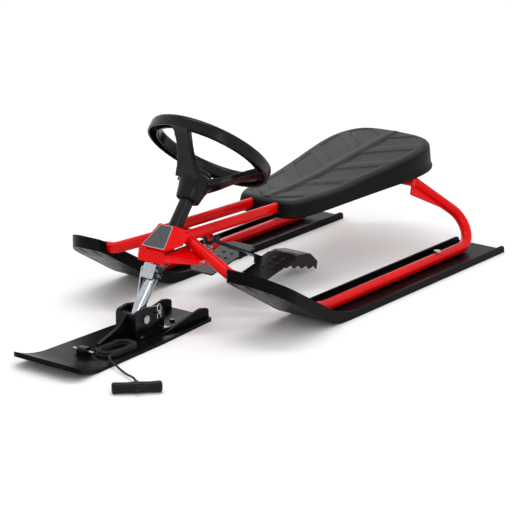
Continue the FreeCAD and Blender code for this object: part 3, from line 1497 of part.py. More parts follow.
def seat_line(grow):
    """Closed wire of lines and tangent arcs that stands off the seat's outline, outward for more than zero."""
    count = len(seat_corners)
    spots = [Vector(x, y, 0) for x, y, radius in seat_corners]
    away = float(grow)
    moved, radii = [], []
    for i in range(count):
        one = (spots[i] - spots[i - 1]).normalize()
        two = (spots[(i + 1) % count] - spots[i]).normalize()
        side_one = Vector(one.y, -one.x, 0) * TURN_SIGN
        side_two = Vector(two.y, -two.x, 0) * TURN_SIGN
        mean = (side_one + side_two).normalize()
        moved.append(spots[i] + mean * (away / mean.dot(side_one)))
        bulge = 1 if one.cross(two).z * TURN_SIGN > 0 else -1
        radii.append(seat_corners[i][2] + away * bulge)
    edges = []
    ends = []
    for i in range(count):
        back = (moved[i - 1] - moved[i]).normalize()
        ahead = (moved[(i + 1) % count] - moved[i]).normalize()
        half = back.getAngle(ahead) / 2
        reach = radii[i] / math.tan(half)
        middle = moved[i] + (back + ahead).normalize() * (radii[i] / math.sin(half))
        apex = middle + (moved[i] - middle).normalize() * radii[i]
        ends.append((moved[i] + back * reach, apex, moved[i] + ahead * reach))
    for i in range(count):
        edges.append(Part.Arc(*ends[i]).toShape())
        edges.append(Part.LineSegment(ends[i][2], ends[(i + 1) % count][0]).toShape())
    return Part.Wire(edges)


TURN_SIGN = 1
if Part.Face(seat_line(s.seat_lip)).Area < Part.Face(seat_line(NONE)).Area:
    TURN_SIGN = -1
seat_wire = seat_line(NONE)


def half_at(x):
    """Half width of the seat at a local x, along the straight lines of the outline."""
    share = -x / seat_run
    for (a, b, c), (d, e, f) in zip(SEAT_SHARES, SEAT_SHARES[1:]):
        if a <= share <= d:
            return seat_side * (b + (e - b) * (share - a) / (d - a))
    return 0.0


def seat_under(lift):
    """Block from far below up to the seat's top line, which is flat in front and sweeps up to the rear."""
    over = float(s.overrun)
    rise_slope = float(s.seat_rise) / (seat_run - float(s.seat_flat))
    top = bent([
        Vector(over, 0, seat_high),
        vec(-s.seat_flat, NONE, s.seat_high),
        Vector(-seat_run - over, 0, seat_high + (seat_run + over - float(s.seat_flat)) * rise_slope),
    ], [float(s.seat_sweep)])
    first, last = top.OrderedVertexes[0].Point, top.OrderedVertexes[-1].Point
    deep = Vector(0, 0, -float(s.seat_tall))
    rest = [
        Part.LineSegment(last, last + deep).toShape(),
        Part.LineSegment(last + deep, first + deep).toShape(),
        Part.LineSegment(first + deep, first).toShape(),
    ]
    face = Part.Face(Part.Wire(top.OrderedEdges + rest))
    face.translate(Vector(0, -seat_side * 2, lift))
    return face.extrude(Vector(0, seat_side * 4, 0))


def seat_block(grow, lift):
    """Upright block of the seat's plan, from its base plane up to its top line."""
    whole = Part.Face(seat_line(grow)).extrude(vec(NONE, NONE, s.seat_tall))
    return whole.common(seat_under(lift)).Solids[0]


seat = seat_block(NONE, 0.0)
top_edges = []
for edge in seat.Edges:
    middle = edge.CenterOfMass
    if middle.z > seat_high - 0.01 and not upright_edge(edge):
        faces = seat.ancestorsOfType(edge, Part.Face)
        if any(abs(face.normalAt(0, 0).z) < 0.01 for face in faces):
            top_edges.append(edge)
print("seat top edges", len(top_edges))
seat = seat.makeFillet(float(s.seat_edge_round), top_edges)
print("seat rounded", seat.isValid())
lip = Part.Face(seat_line(s.seat_lip)).extrude(vec(NONE, NONE, s.seat_lip_height))
seat = seat.fuse(lip)
space = Part.Face(seat_line(-s.seat_wall)).extrude(vec(NONE, NONE, s.seat_tall))
space.translate(vec(NONE, NONE, -s.overrun))
seat = seat.cut(space.common(seat_under(-float(s.seat_wall))))
print("seat hollow", seat.isValid())
panel_top = seat_under(float(s.seat_panel))
for start, end in PANEL_SHARES:
    first, last = -start * seat_run, -end * seat_run
    y_in = float(s.seat_panel_inner)
    flat = []
    for x in (first, last):
        flat.append(Vector(x, y_in, seat_high - float(s.seat_panel)))
    for x in (last, first):
        wide = half_at(x - PANEL_SKEW * seat_side * 0.5) - float(s.seat_panel_edge)
        wide = min(wide, half_at(x - PANEL_SKEW * wide) - float(s.seat_panel_edge))
        flat.append(Vector(x - PANEL_SKEW * (wide - y_in), wide, seat_high - float(s.seat_panel)))
    panel = prism(flat, vec(NONE, NONE, s.seat_tall)).common(panel_top)
    seat = seat.fuse(panel).fuse(flipped(panel))
seat_turn = math.atan2(float(s.seat_low_rear - s.seat_low_front), seat_run)
seat_place = Placement(vec(-s.seat_front_x, NONE, s.seat_low_front), Rotation(Vector(0, 1, 0), math.degrees(seat_turn)))
print("seat before placement", seat.isValid())
seat = seat.removeSplitter()
print("seat refined", seat.isValid())
seat.Placement = seat_place
clear = float(s.seat_bar_clear)
opening = Part.makeBox(float(bar_length), float(s.bar_width) + clear * 2, float(s.bar_height) + clear * 2,
                       Vector(0, -float(s.bar_width) / 2 - clear, -float(s.bar_height) / 2 - clear))
opening.Placement = bar.Placement
seat = seat.cut(opening).cut(flipped(opening))
print("seat openings", seat.isValid())
roof_block = Part.Face(seat_wire).extrude(vec(NONE, NONE, s.seat_tall * 2))
roof_block.translate(vec(NONE, NONE, -s.seat_high * 2))
roof_block = roof_block.common(seat_under(-float(s.seat_wall) / 2))
roof_block.Placement = seat_place.multiply(roof_block.Placement)
members = []
boss_bores = []
screw_shank = float(s.seat_screw_radius)
bar_up = BAR_TURN.multVec(Vector(0, 0, 1))
for share in (1, -1):
    at = bar_point(screw_along, s.bar_height / 2) + Vector(0, float(s.bar_y) * share, 0)
    boss = Part.makeCylinder(float(s.bar_width) / 2, seat_high * 2, at, bar_up).common(roof_block)
    seat = seat.fuse(boss)
    boss_bores.append(Part.makeCylinder(screw_shank, float(s.seat_screw_deep), at, bar_up))
    made = bolt("seat_screw", s.seat_screw_radius, s.bar_height + s.seat_screw_deep, s.seat_screw_head,
                s.seat_screw_head_height, sides=0)
    made.Placement = Placement(at - bar_up * float(s.bar_height), BAR_TURN.multiply(Rotation(Vector(1, 0, 0), 180)))
    members.append(made)
    at = Vector(cross_at.x, float(s.seat_screw_y) * share, cross_at.z)
    boss = Part.makeCylinder(float(s.seat_boss), seat_high * 3, at, Vector(0, 0, 1)).common(roof_block)
    boss = boss.cut(Part.makeCylinder(float(s.crossbar_radius), seat_side, at - Vector(0, seat_side / 2, 0), Vector(0, 1, 0)))
    seat = seat.fuse(boss)
    boss_bores.append(Part.makeCylinder(screw_shank, float(s.crossbar_radius + s.seat_screw_deep), at))
    made = bolt("seat_screw", s.seat_screw_radius, s.crossbar_radius * 2 + s.seat_screw_deep, s.seat_screw_head,
                s.seat_screw_head_height, sides=0)
    made.Placement = Placement(at - vec(NONE, NONE, s.crossbar_radius), Rotation(Vector(1, 0, 0), 180))
    members.append(made)
for way in boss_bores:
    seat = seat.cut(way)
print("seat solids", len(seat.Solids))
seat = max(seat.Solids, key=lambda solid: solid.Volume)
from_shape("seat", seat)
group("seat_screws", members)

# Tow rope: one hank of parallel loops in two layers, its lead, the handle and the end knot.
rope = float(s.rope_radius)
pitch = float(s.hank_pitch)
wide = float(s.hank_wide)
right_y = float(s.hank_side)
left_y = right_y + wide * 2
x_rear = float(s.hank_x - s.hank_half_run)
x_front = float(s.hank_x + s.hank_half_run)
z_one = float(deck) + rope + float(s.ground_clear)
z_two = z_one + rope * 2 + float(s.rope_clear)
hank_edges = []


def straight(a, b):
    hank_edges.append(Part.LineSegment(a, b).toShape())


def half_turn(a, b, ahead):
    """Half circle from a to b that bulges along x."""
    middle = (a + b) * 0.5
    radius = (a - b).Length / 2
    apex = middle + Vector(radius * ahead, 0, 0)
    root = math.sqrt(0.5) * radius
    side_a = (a - b).normalize()
    quarter_a = middle + Vector(root * ahead, 0, 0) + side_a * root
    quarter_b = middle + Vector(root * ahead, 0, 0) - side_a * root
    hank_edges.append(Part.Arc(a, quarter_a, apex).toShape())
    hank_edges.append(Part.Arc(apex, quarter_b, b).toShape())


rights = [right_y + pitch * i for i in range(3)]
lefts = [left_y - pitch * i for i in range(3)]
straight(Vector(float(anchor_rear), rights[0], z_one), Vector(x_front, rights[0], z_one))
for i in range(3):
    straight(Vector(x_front, rights[i], z_one), Vector(x_rear, rights[i], z_one))
    half_turn(Vector(x_rear, rights[i], z_one), Vector(x_rear, lefts[i], z_one), -1)
    if i < 2:
        straight(Vector(x_rear, lefts[i], z_one), Vector(x_front, lefts[i], z_one))
        half_turn(Vector(x_front, lefts[i], z_one), Vector(x_front, rights[i + 1], z_one), 1)
climb = (z_two - z_one) / 2
arc_mid = Vector((x_rear + x_front) / 2, lefts[2], (z_one + z_two) / 2)
arc_radius = ((x_front - x_rear) ** 2 / 4 + climb ** 2) / (2 * climb)
sag = arc_radius - math.sqrt(arc_radius ** 2 - (math.hypot((x_front - x_rear) / 2, climb) / 2) ** 2)
lean = Vector(-climb, 0, (x_front - x_rear) / 2).normalize()
start = Vector(x_rear, lefts[2], z_one)
end = Vector(x_front, lefts[2], z_two)
hank_edges.append(Part.Arc(start, (start + arc_mid) * 0.5 - lean * sag, arc_mid).toShape())
hank_edges.append(Part.Arc(arc_mid, (arc_mid + end) * 0.5 + lean * sag, end).toShape())
for i in (2, 1, 0):
    if i < 2:
        half_turn(Vector(x_rear, rights[i + 1], z_two), Vector(x_rear, lefts[i], z_two), -1)
        straight(Vector(x_rear, lefts[i], z_two), Vector(x_front, lefts[i], z_two))
    if i > 0:
        half_turn(Vector(x_front, lefts[i], z_two), Vector(x_front, rights[i], z_two), 1)
        straight(Vector(x_front, rights[i], z_two), Vector(x_rear, rights[i], z_two))
hank_wire = Part.Wire(hank_edges)
hank = swept(hank_wire, s.rope_radius)
from_shape("tow_rope_hank", hank)
print("hank length %.0f, volume over section x length %.4f" % (
    hank_wire.Length, hank.Volume / (hank_wire.Length * math.pi * rope ** 2)))
handle_z = s.handle_radius + s.ground_clear
handle_at = vec(s.handle_x, s.handle_y, handle_z)
handle_aim = Vector(math.cos(math.radians(HANDLE_TURN)), math.sin(math.radians(HANDLE_TURN)), 0)
rope_aim = Vector(handle_aim.y, -handle_aim.x, 0)
neck_end = handle_at - rope_aim * float(s.neck_length)
lead_points = [
    Vector(x_front, lefts[0], z_two),
    vec(s.lead_out_x, lefts[0], z_two),
    vec(s.lead_edge_x, s.lead_edge_y, s.lead_edge_z),
    vec(s.lead_low_x, s.lead_low_y, s.lead_low_z),
    neck_end - rope_aim * float(s.lead_end),
    neck_end,
]
lead_radii = []
for a, b, c in zip(lead_points, lead_points[1:], lead_points[2:]):
    run = min((a - b).Length, (c - b).Length)
    turn = math.pi - (a - b).getAngle(c - b)
    lead_radii.append(0.45 * run / math.tan(turn / 2))
print("lead radii", [round(radius, 1) for radius in lead_radii])
lead_wire = bent(lead_points, lead_radii)
from_shape("tow_rope_lead", swept(lead_wire, s.rope_radius))
grip = float(s.handle_radius)
waist = float(s.handle_waist)
reach = float(s.handle_length) / 2
curve = float(s.handle_round)
handle = lathe([
    (0, -reach),
    (grip - curve, -reach),
    (grip - curve * 0.3, -reach + curve * 0.3),
    (grip, -reach + curve),
    (waist, -reach * 0.45),
    (grip, 0),
    (waist, reach * 0.45),
    (grip, reach - curve),
    (grip - curve * 0.3, reach - curve * 0.3),
    (grip - curve, reach),
    (0, reach),
])
handle.Placement = Placement(handle_at, Rotation(Vector(0, 0, 1), handle_aim))
neck = Part.makeCone(float(s.neck_radius), float(s.neck_end_radius), float(s.neck_length), handle_at, rope_aim * -1)
handle = handle.fuse(neck).removeSplitter()
from_shape("tow_handle", handle)
knot_at = handle_at + rope_aim * float(s.handle_radius + s.knot_radius - s.rope_clear)
knot = Part.makeSphere(float(s.knot_radius), knot_at)
from_shape("rope_knot", knot.cut(handle))

doc.recompute()

problems = []
for label, made in pieces.items():
    states = [state for state in made.State if state in ("Invalid", "Error")]
    if states or made.Shape.isNull() or not made.Shape.isValid():
        problems.append(label)
for made in doc.Objects:
    if any(state in ("Invalid", "Error") for state in made.State):
        problems.append(made.Name)
print("problems:", problems)
os.makedirs("parts", exist_ok=True)
for label, made in pieces.items():
    made.Shape.exportStep("parts/" + label + ".step")
    box = made.Shape.BoundBox
    print("%-18s solids %d  x %.1f..%.1f  y %.1f..%.1f  z %.1f..%.1f  cm3 %.1f" % (
        label, len(made.Shape.Solids), box.XMin, box.XMax, box.YMin, box.YMax, box.ZMin, box.ZMax,
        made.Shape.Volume / 1000))
print(len(pieces), "pieces written")
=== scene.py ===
# %% [markdown]
# # A steering sled, dressed on its CAD frame
# The imported CAD model gives every hard piece in its real place. This lesson keeps those solids and
# adds what CAD leaves plain: the limp tow rope and its knot, the soft-edged mouldings, the folded
# cross plate, the brake's return spring, the plain field on the steering head, and a finish for each
# material. Loading comes first.

# %% Load the frame
import json
import math

import bmesh
import bpy
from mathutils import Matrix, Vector
from mathutils.bvhtree import BVHTree


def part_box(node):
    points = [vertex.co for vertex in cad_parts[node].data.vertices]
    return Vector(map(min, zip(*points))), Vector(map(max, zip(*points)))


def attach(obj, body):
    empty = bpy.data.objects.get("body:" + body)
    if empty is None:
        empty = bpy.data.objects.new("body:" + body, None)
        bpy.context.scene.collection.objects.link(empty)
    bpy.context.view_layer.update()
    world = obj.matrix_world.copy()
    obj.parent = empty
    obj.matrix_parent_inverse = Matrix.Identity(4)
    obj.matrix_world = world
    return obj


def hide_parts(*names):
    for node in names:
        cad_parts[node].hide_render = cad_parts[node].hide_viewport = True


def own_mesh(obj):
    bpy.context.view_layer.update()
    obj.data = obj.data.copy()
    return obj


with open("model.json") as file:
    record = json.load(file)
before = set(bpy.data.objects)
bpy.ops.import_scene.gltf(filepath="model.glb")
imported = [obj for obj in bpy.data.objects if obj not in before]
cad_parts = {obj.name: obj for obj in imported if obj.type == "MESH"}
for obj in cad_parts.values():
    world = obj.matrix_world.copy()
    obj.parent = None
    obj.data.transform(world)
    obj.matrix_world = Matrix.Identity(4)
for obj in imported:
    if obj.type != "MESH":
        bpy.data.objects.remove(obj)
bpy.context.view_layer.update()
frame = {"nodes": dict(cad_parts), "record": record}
nodes = frame["nodes"]
MM = 0.001
scene = bpy.context.scene

# %% [markdown]
# ## Camera
# The photograph looks along the sled from its front left, a little above the seat, with a long lens.
# A target point and a position are easier to read than angles, so the camera is aimed with a track
# rotation from one to the other.

# %% Camera
EYE = Vector((3.653, 2.832, 1.519))
AIM = Vector((-0.0636, 0.0, 0.0667))
LENS_MM, SENSOR_MM = 175.8, 36
camera_data = bpy.data.cameras.new("sled_camera")
camera_data.sensor_width = SENSOR_MM
camera_data.lens = LENS_MM
camera = bpy.data.objects.new("sled_camera", camera_data)
camera.location = EYE
camera.rotation_euler = (AIM - EYE).to_track_quat("-Z", "Y").to_euler()
scene.collection.objects.link(camera)
scene.camera = camera
print("camera distance", round((AIM - EYE).length, 3), "m")

# %% [markdown]
# ## Helpers for colour and nodes
# Colours are written as they look on a screen and turned to linear light by one function. One small
# function adds any node with its settings and links, so each material below reads as a short list.


# %% Colour helpers
def linear(code):
    """Linear colour of an sRGB hex code."""
    parts = [int(code[i:i + 2], 16) / 255 for i in (1, 3, 5)]
    light = [p / 12.92 if p <= 0.04045 else ((p + 0.055) / 1.055) ** 2.4 for p in parts]
    return (*light, 1.0)


def grey(level):
    """A plain number as a ramp colour."""
    return (level, level, level, 1.0)


def per_mm(size_mm):
    """Texture scale for a pattern whose cells are size_mm across, in metre coordinates."""
    return 1000.0 / size_mm


# %% Node helper
NOISE, CELLS = "ShaderNodeTexNoise", "ShaderNodeTexVoronoi"
RAMP, BUMP, MATHS = "ShaderNodeValToRGB", "ShaderNodeBump", "ShaderNodeMath"


def add(tree, kind, settings=None, values=None, links=None, stops=None, feeds=None):
    """Add a node: attributes, socket values, ramp stops, and links in and out as (node, socket)."""
    node = tree.nodes.new(kind)
    for name, value in (settings or {}).items():
        setattr(node, name, value)
    for name, value in (values or {}).items():
        node.inputs[name].default_value = value
    for name, (source, socket) in (links or {}).items():
        tree.links.new(source.outputs[socket], node.inputs[name])
    for k, (position, colour) in enumerate(stops or []):
        node.color_ramp.elements[k].position = position
        node.color_ramp.elements[k].color = colour
    for name, (target, socket) in (feeds or {}).items():
        tree.links.new(node.outputs[name], target.inputs[socket])
    return node


def finish(name, **sockets):
    """A new material with one Principled shader whose plain values are set on its own sockets."""
    made = bpy.data.materials.new(name)
    made.use_nodes = True
    tree = made.node_tree
    shader = tree.nodes["Principled BSDF"]
    for socket, value in sockets.items():
        shader.inputs[socket.replace("_", " ")].default_value = value
    place = add(tree, "ShaderNodeTexCoord")
    return made, tree, shader, place


print("helpers ready")

# %% [markdown]
# ## Powder-coated steel, red
# The tubes, bars and steering head are steel with a baked powder coat. Melted powder leaves a faint
# orange peel about 3 mm across under a smooth gloss, and the colour varies a little with film
# thickness. A flat red would look like plastic, so noise drives both the colour and a shallow bump.
# The orange peel is drawn as it is; it only just shows.

# %% Red powder coat
PEEL_MM = 3.0
RED_FILM_MM = 60.0
red_coat, tree, shader, place = finish("powder_coated_steel_red", Roughness=0.22,
                                       Specular_IOR_Level=0.12)
film = add(tree, NOISE, values={"Scale": per_mm(RED_FILM_MM), "Detail": 3.0},
           links={"Vector": (place, "Object")})
add(tree, RAMP, links={"Fac": (film, "Fac")},
    stops=[(0.3, linear("#CE0406")), (0.7, linear("#DE0609"))],
    feeds={"Color": (shader, "Base Color")})
peel = add(tree, NOISE, values={"Scale": per_mm(PEEL_MM), "Detail": 1.0},
           links={"Vector": (place, "Object")})
add(tree, BUMP, values={"Strength": 0.12, "Distance": 0.0004}, links={"Height": (peel, "Fac")},
    feeds={"Normal": (shader, "Normal")})
print("made", red_coat.name)

# %% [markdown]
# ## Moulded polyethylene, black
# The ski and the runners are moulded in tough black polyethylene. The mould leaves a fine satin
# grain, and sliding leaves long pale scuffs along the direction of travel, so a noise stretched along
# X lightens the colour and the roughness there.

# %% Black polyethylene
GLIDE_GRAIN_MM = 1.2
SCUFF_MM = 14.0
SCUFF_STRETCH = (0.06, 1.0, 1.0)
glide_plastic, tree, shader, place = finish("moulded_polyethylene_black", IOR=1.5,
                                            Specular_IOR_Level=0.05)
along = add(tree, "ShaderNodeMapping", values={"Scale": SCUFF_STRETCH},
            links={"Vector": (place, "Object")})
scuff = add(tree, NOISE, values={"Scale": per_mm(SCUFF_MM), "Detail": 6.0, "Roughness": 0.7},
            links={"Vector": (along, "Vector")})
add(tree, RAMP, links={"Fac": (scuff, "Fac")},
    stops=[(0.4, linear("#050506")), (0.75, linear("#0F0F11"))],
    feeds={"Color": (shader, "Base Color")})
add(tree, RAMP, links={"Fac": (scuff, "Fac")}, stops=[(0.35, grey(0.26)), (0.7, grey(0.4))],
    feeds={"Color": (shader, "Roughness")})
grain = add(tree, NOISE, values={"Scale": per_mm(GLIDE_GRAIN_MM), "Detail": 2.0},
            links={"Vector": (place, "Object")})
add(tree, BUMP, values={"Strength": 0.15, "Distance": 0.0003}, links={"Height": (grain, "Fac")},
    feeds={"Normal": (shader, "Normal")})
print("made", glide_plastic.name)

# %% [markdown]
# ## Moulded polypropylene, leather grain
# The seat's top is moulded with a leather grain, and its wall is smoother. The colour has painted
# light: the top is painted a warm dark grey as if lit from above, and the wall black as painted shade.
# The piece's own upward direction mixes the two, and cells of about 2 mm give the grain's bump.

# %% Grained polypropylene
LEATHER_MM = 2.2
CLOUD_MM = 45.0
MIX_SHARE, MIX_FIRST, MIX_SECOND, MIX_COLOUR = 0, 6, 7, 2  # the Mix node's colour sockets
seat_plastic, tree, shader, place = finish("moulded_polypropylene_grained", IOR=1.49,
                                           Specular_IOR_Level=0.09)
facing = add(tree, "ShaderNodeSeparateXYZ", links={"Vector": (place, "Normal")})
cells = add(tree, CELLS, values={"Scale": per_mm(LEATHER_MM), "Randomness": 1.0},
            links={"Vector": (place, "Object")})
cloud = add(tree, NOISE, values={"Scale": per_mm(CLOUD_MM), "Detail": 4.0},
            links={"Vector": (place, "Object")})
# painted shade: the wall's colour is kept black, as shade on the sides
wall = add(tree, RAMP, links={"Fac": (cloud, "Fac")},
           stops=[(0.3, linear("#060607")), (0.8, linear("#0B0B0C"))])
# painted light: the top's colour is made lighter, as if lit from above
top = add(tree, RAMP, links={"Fac": (cloud, "Fac")},
          stops=[(0.3, linear("#242423")), (0.8, linear("#31302E"))])
# painted light: faces that point up take the lighter top colour, the others the wall's painted shade
painted_light_from_above = add(tree, RAMP, links={"Fac": (facing, "Z")}, stops=[(0.55, grey(0.0)), (0.9, grey(1.0))])
add(tree, "ShaderNodeMix", settings={"data_type": "RGBA"},
    links={MIX_SHARE: (painted_light_from_above, "Color"), MIX_FIRST: (wall, "Color"), MIX_SECOND: (top, "Color")},
    feeds={MIX_COLOUR: (shader, "Base Color")})
add(tree, RAMP, links={"Fac": (cells, "Distance")}, stops=[(0.0, grey(0.34)), (0.7, grey(0.5))],
    feeds={"Color": (shader, "Roughness")})
add(tree, BUMP, values={"Strength": 0.3, "Distance": 0.0004}, links={"Height": (cells, "Distance")},
    feeds={"Normal": (shader, "Normal")})
print("made", seat_plastic.name)

# %% [markdown]
# ## Moulded nylon, satin black
# The wheel, the pedestal and the small mouldings have a smoother satin face than the seat. Hands
# polish it unevenly, so a soft noise moves the roughness.

# %% Satin black plastic
HAND_MM = 25.0
SATIN_GRAIN_MM = 0.9
satin_plastic, tree, shader, place = finish("moulded_nylon_satin_black", IOR=1.52,
                                            Specular_IOR_Level=0.17)
hand = add(tree, NOISE, values={"Scale": per_mm(HAND_MM), "Detail": 5.0},
           links={"Vector": (place, "Object")})
add(tree, RAMP, links={"Fac": (hand, "Fac")},
    stops=[(0.3, linear("#070708")), (0.75, linear("#101012"))],
    feeds={"Color": (shader, "Base Color")})
add(tree, RAMP, links={"Fac": (hand, "Fac")}, stops=[(0.3, grey(0.18)), (0.7, grey(0.28))],
    feeds={"Color": (shader, "Roughness")})
grain = add(tree, NOISE, values={"Scale": per_mm(SATIN_GRAIN_MM), "Detail": 1.0},
            links={"Vector": (place, "Object")})
add(tree, BUMP, values={"Strength": 0.1, "Distance": 0.0002}, links={"Height": (grain, "Fac")},
    feeds={"Normal": (shader, "Normal")})
print("made", satin_plastic.name)

# %% [markdown]
# ## Powder-coated steel, black
# The column tube and the brake are steel with a semi-gloss black coat, which has the same orange peel
# as the red.

# %% Black powder coat
BLACK_FILM_MM = 40.0
black_coat, tree, shader, place = finish("powder_coated_steel_black", Specular_IOR_Level=0.22)
film = add(tree, NOISE, values={"Scale": per_mm(BLACK_FILM_MM), "Detail": 3.0},
           links={"Vector": (place, "Object")})
add(tree, RAMP, links={"Fac": (film, "Fac")},
    stops=[(0.3, linear("#08080A")), (0.7, linear("#121214"))],
    feeds={"Color": (shader, "Base Color")})
add(tree, RAMP, links={"Fac": (film, "Fac")}, stops=[(0.3, grey(0.28)), (0.7, grey(0.4))],
    feeds={"Color": (shader, "Roughness")})
peel = add(tree, NOISE, values={"Scale": per_mm(PEEL_MM), "Detail": 1.0},
           links={"Vector": (place, "Object")})
add(tree, BUMP, values={"Strength": 0.12, "Distance": 0.0003}, links={"Height": (peel, "Fac")},
    feeds={"Normal": (shader, "Normal")})
print("made", black_coat.name)

# %% [markdown]
# ## Zinc-plated steel
# The fork, its bolts and the axle are bright zinc plated. The plating is a metal, so its colour sits
# in the reflection; cells of a few millimetres and a fine drawn grain break up the shine.

# %% Zinc plate
SPANGLE_MM = 6.0
DRAWN_MM = 2.0
zinc, tree, shader, place = finish("zinc_plated_steel", Metallic=1.0)
spangle = add(tree, CELLS, values={"Scale": per_mm(SPANGLE_MM)}, links={"Vector": (place, "Object")})
add(tree, RAMP, links={"Fac": (spangle, "Distance")},
    stops=[(0.0, linear("#A2A8AE")), (0.8, linear("#B8BDC3"))],
    feeds={"Color": (shader, "Base Color")})
drawn = add(tree, NOISE, values={"Scale": per_mm(DRAWN_MM), "Detail": 4.0},
            links={"Vector": (place, "Object")})
add(tree, RAMP, links={"Fac": (drawn, "Fac")}, stops=[(0.3, grey(0.12)), (0.7, grey(0.2))],
    feeds={"Color": (shader, "Roughness")})
add(tree, BUMP, values={"Strength": 0.03, "Distance": 0.0002}, links={"Height": (drawn, "Fac")},
    feeds={"Normal": (shader, "Normal")})
print("made", zinc.name)

# %% [markdown]
# ## Rubber and rope
# The axle ends carry rubber caps: dull, with a faint bloom. The rope is braided polypropylene, whose
# fibres catch light at the edge, so it gets a little sheen over a matt black. Fibres are far too fine
# to show, and are drawn as 0.6 mm streaks.

# %% Rubber
BLOOM_MM = 8.0
rubber, tree, shader, place = finish("rubber_black", Specular_IOR_Level=0.3)
bloom = add(tree, NOISE, values={"Scale": per_mm(BLOOM_MM), "Detail": 4.0},
            links={"Vector": (place, "Object")})
add(tree, RAMP, links={"Fac": (bloom, "Fac")},
    stops=[(0.3, linear("#101011")), (0.8, linear("#1E1E1F"))],
    feeds={"Color": (shader, "Base Color")})
add(tree, RAMP, links={"Fac": (bloom, "Fac")}, stops=[(0.3, grey(0.6)), (0.8, grey(0.8))],
    feeds={"Color": (shader, "Roughness")})
print("made", rubber.name)

# %% Rope finish
FIBRE_MM = 0.6
braid, tree, shader, place = finish("braided_polypropylene_black", Roughness=0.75,
                                    Sheen_Weight=0.1, Specular_IOR_Level=0.2)
fibre = add(tree, NOISE, values={"Scale": per_mm(FIBRE_MM), "Detail": 3.0},
            links={"Vector": (place, "Object")})
add(tree, RAMP, links={"Fac": (fibre, "Fac")},
    stops=[(0.3, linear("#08080A")), (0.75, linear("#1A1A1C"))],
    feeds={"Color": (shader, "Base Color")})
add(tree, BUMP, values={"Strength": 0.4, "Distance": 0.0003}, links={"Height": (fibre, "Fac")},
    feeds={"Normal": (shader, "Normal")})
print("made", braid.name)

# %% [markdown]
# ## The CAD solids get their finishes
# A solid whose shape is right stays as it is and only gets its finish. The record's slots say which
# solids share a material; the seat and the sliding pieces are picked out by name, because one slot
# holds both the grained seat and the smooth mouldings.

# %% Finishes on the solids
by_slot = {
    "red_paint": red_coat,
    "black_plastic": satin_plastic,
    "black_paint": black_coat,
    "zinc": zinc,
    "rope": braid,
    "black_rubber": rubber,
}
by_name = {
    "seat": seat_plastic,
    "runner_left": glide_plastic,
    "runner_right": glide_plastic,
    "ski_blade": glide_plastic,
}
for sub in frame["record"]["subparts"]:
    solid = nodes[sub["node"]]
    coat = by_name.get(sub["node"], by_slot[sub["material_slot"]])
    solid.data.materials.clear()
    solid.data.materials.append(coat)
print("dressed", len(nodes), "solids")

# %% [markdown]
# ## Helpers for shapes
# Most pieces below are rings of points with faces between them. One function makes those faces, one
# turns the result into an object, and one reads points back from a smooth spline.


# %% Shape helpers
def skin(bm, rings):
    """Four-sided faces between neighbouring rings."""
    for here, there in zip(rings, rings[1:]):
        for k in range(len(here)):
            m = (k + 1) % len(here)
            bm.faces.new((here[k], here[m], there[m], there[k]))


def cap(bm, rings):
    """Close the first and the last ring."""
    bm.faces.new(list(reversed(rings[0])))
    bm.faces.new(rings[-1])


def piece(name, bm, coat):
    """Turn a bmesh into an object of the scene with one material."""
    bmesh.ops.recalc_face_normals(bm, faces=bm.faces)
    mesh = bpy.data.meshes.new(name)
    bm.to_mesh(mesh)
    bm.free()
    mesh.materials.append(coat)
    made = bpy.data.objects.new(name, mesh)
    scene.collection.objects.link(made)
    return made


def spline_points(spots, order, fineness, closed=False):
    """Points read from a NURBS spline that has the spots, in metres, as its control points."""
    data = bpy.data.curves.new("guide", "CURVE")
    data.dimensions = "3D"
    data.resolution_u = fineness
    line = data.splines.new("NURBS")
    line.points.add(len(spots) - 1)
    for point, spot in zip(line.points, spots):
        point.co = (*spot, 1.0)
    line.order_u = order
    line.use_cyclic_u = closed
    line.use_endpoint_u = not closed
    holder = bpy.data.objects.new("guide", data)
    scene.collection.objects.link(holder)
    bpy.context.view_layer.update()
    read = bpy.data.meshes.new_from_object(holder)
    points = [v.co.copy() for v in read.vertices]
    bpy.data.objects.remove(holder)
    return points


print("shape helpers ready")

# %% [markdown]
# ## Tow rope
# The rope starts at the anchor on the ski, is folded into a flat hank of two layers and then runs over
# the ski's edge to its handle. Its line is one smooth spline that has the route's own points as its
# control points, and each fold of the hank adds four points round its half turn. The braid is a tube
# that follows points read back from that spline, with diamonds raised where the strands cross.

# %% Rope route, in mm
ROPE_R = 2.25
ROPE_START = 440
HANK_REAR, HANK_FRONT = 377.8, 419.8
RIGHTS = (6.2, 11.4, 16.6)
LEFTS = (54.0, 48.8, 43.6)
LOW_Z, HIGH_Z = 9.35, 14.3
FOLD_TURNS = (22.5, 67.5, 112.5, 157.5)
FOLD_OUT = 1 / math.cos(math.radians(FOLD_TURNS[0]))
LEAD = [(448, 54, 14.3), (463, 84, 10.2), (478, 122, 4.5), (496.1, 159.5, 10.6), (510.5, 173.3, 10.6)]


def fold(x, start_y, end_y, z, side):
    """Four points round a half turn of the hank, bulging to the given side along X."""
    middle = (start_y + end_y) / 2
    reach = (end_y - start_y) / 2
    spots = []
    for turn in FOLD_TURNS:
        angle = math.radians(turn)
        out = side * abs(reach) * FOLD_OUT * math.sin(angle)
        spots.append((x + out, middle - reach * FOLD_OUT * math.cos(angle), z))
    return spots


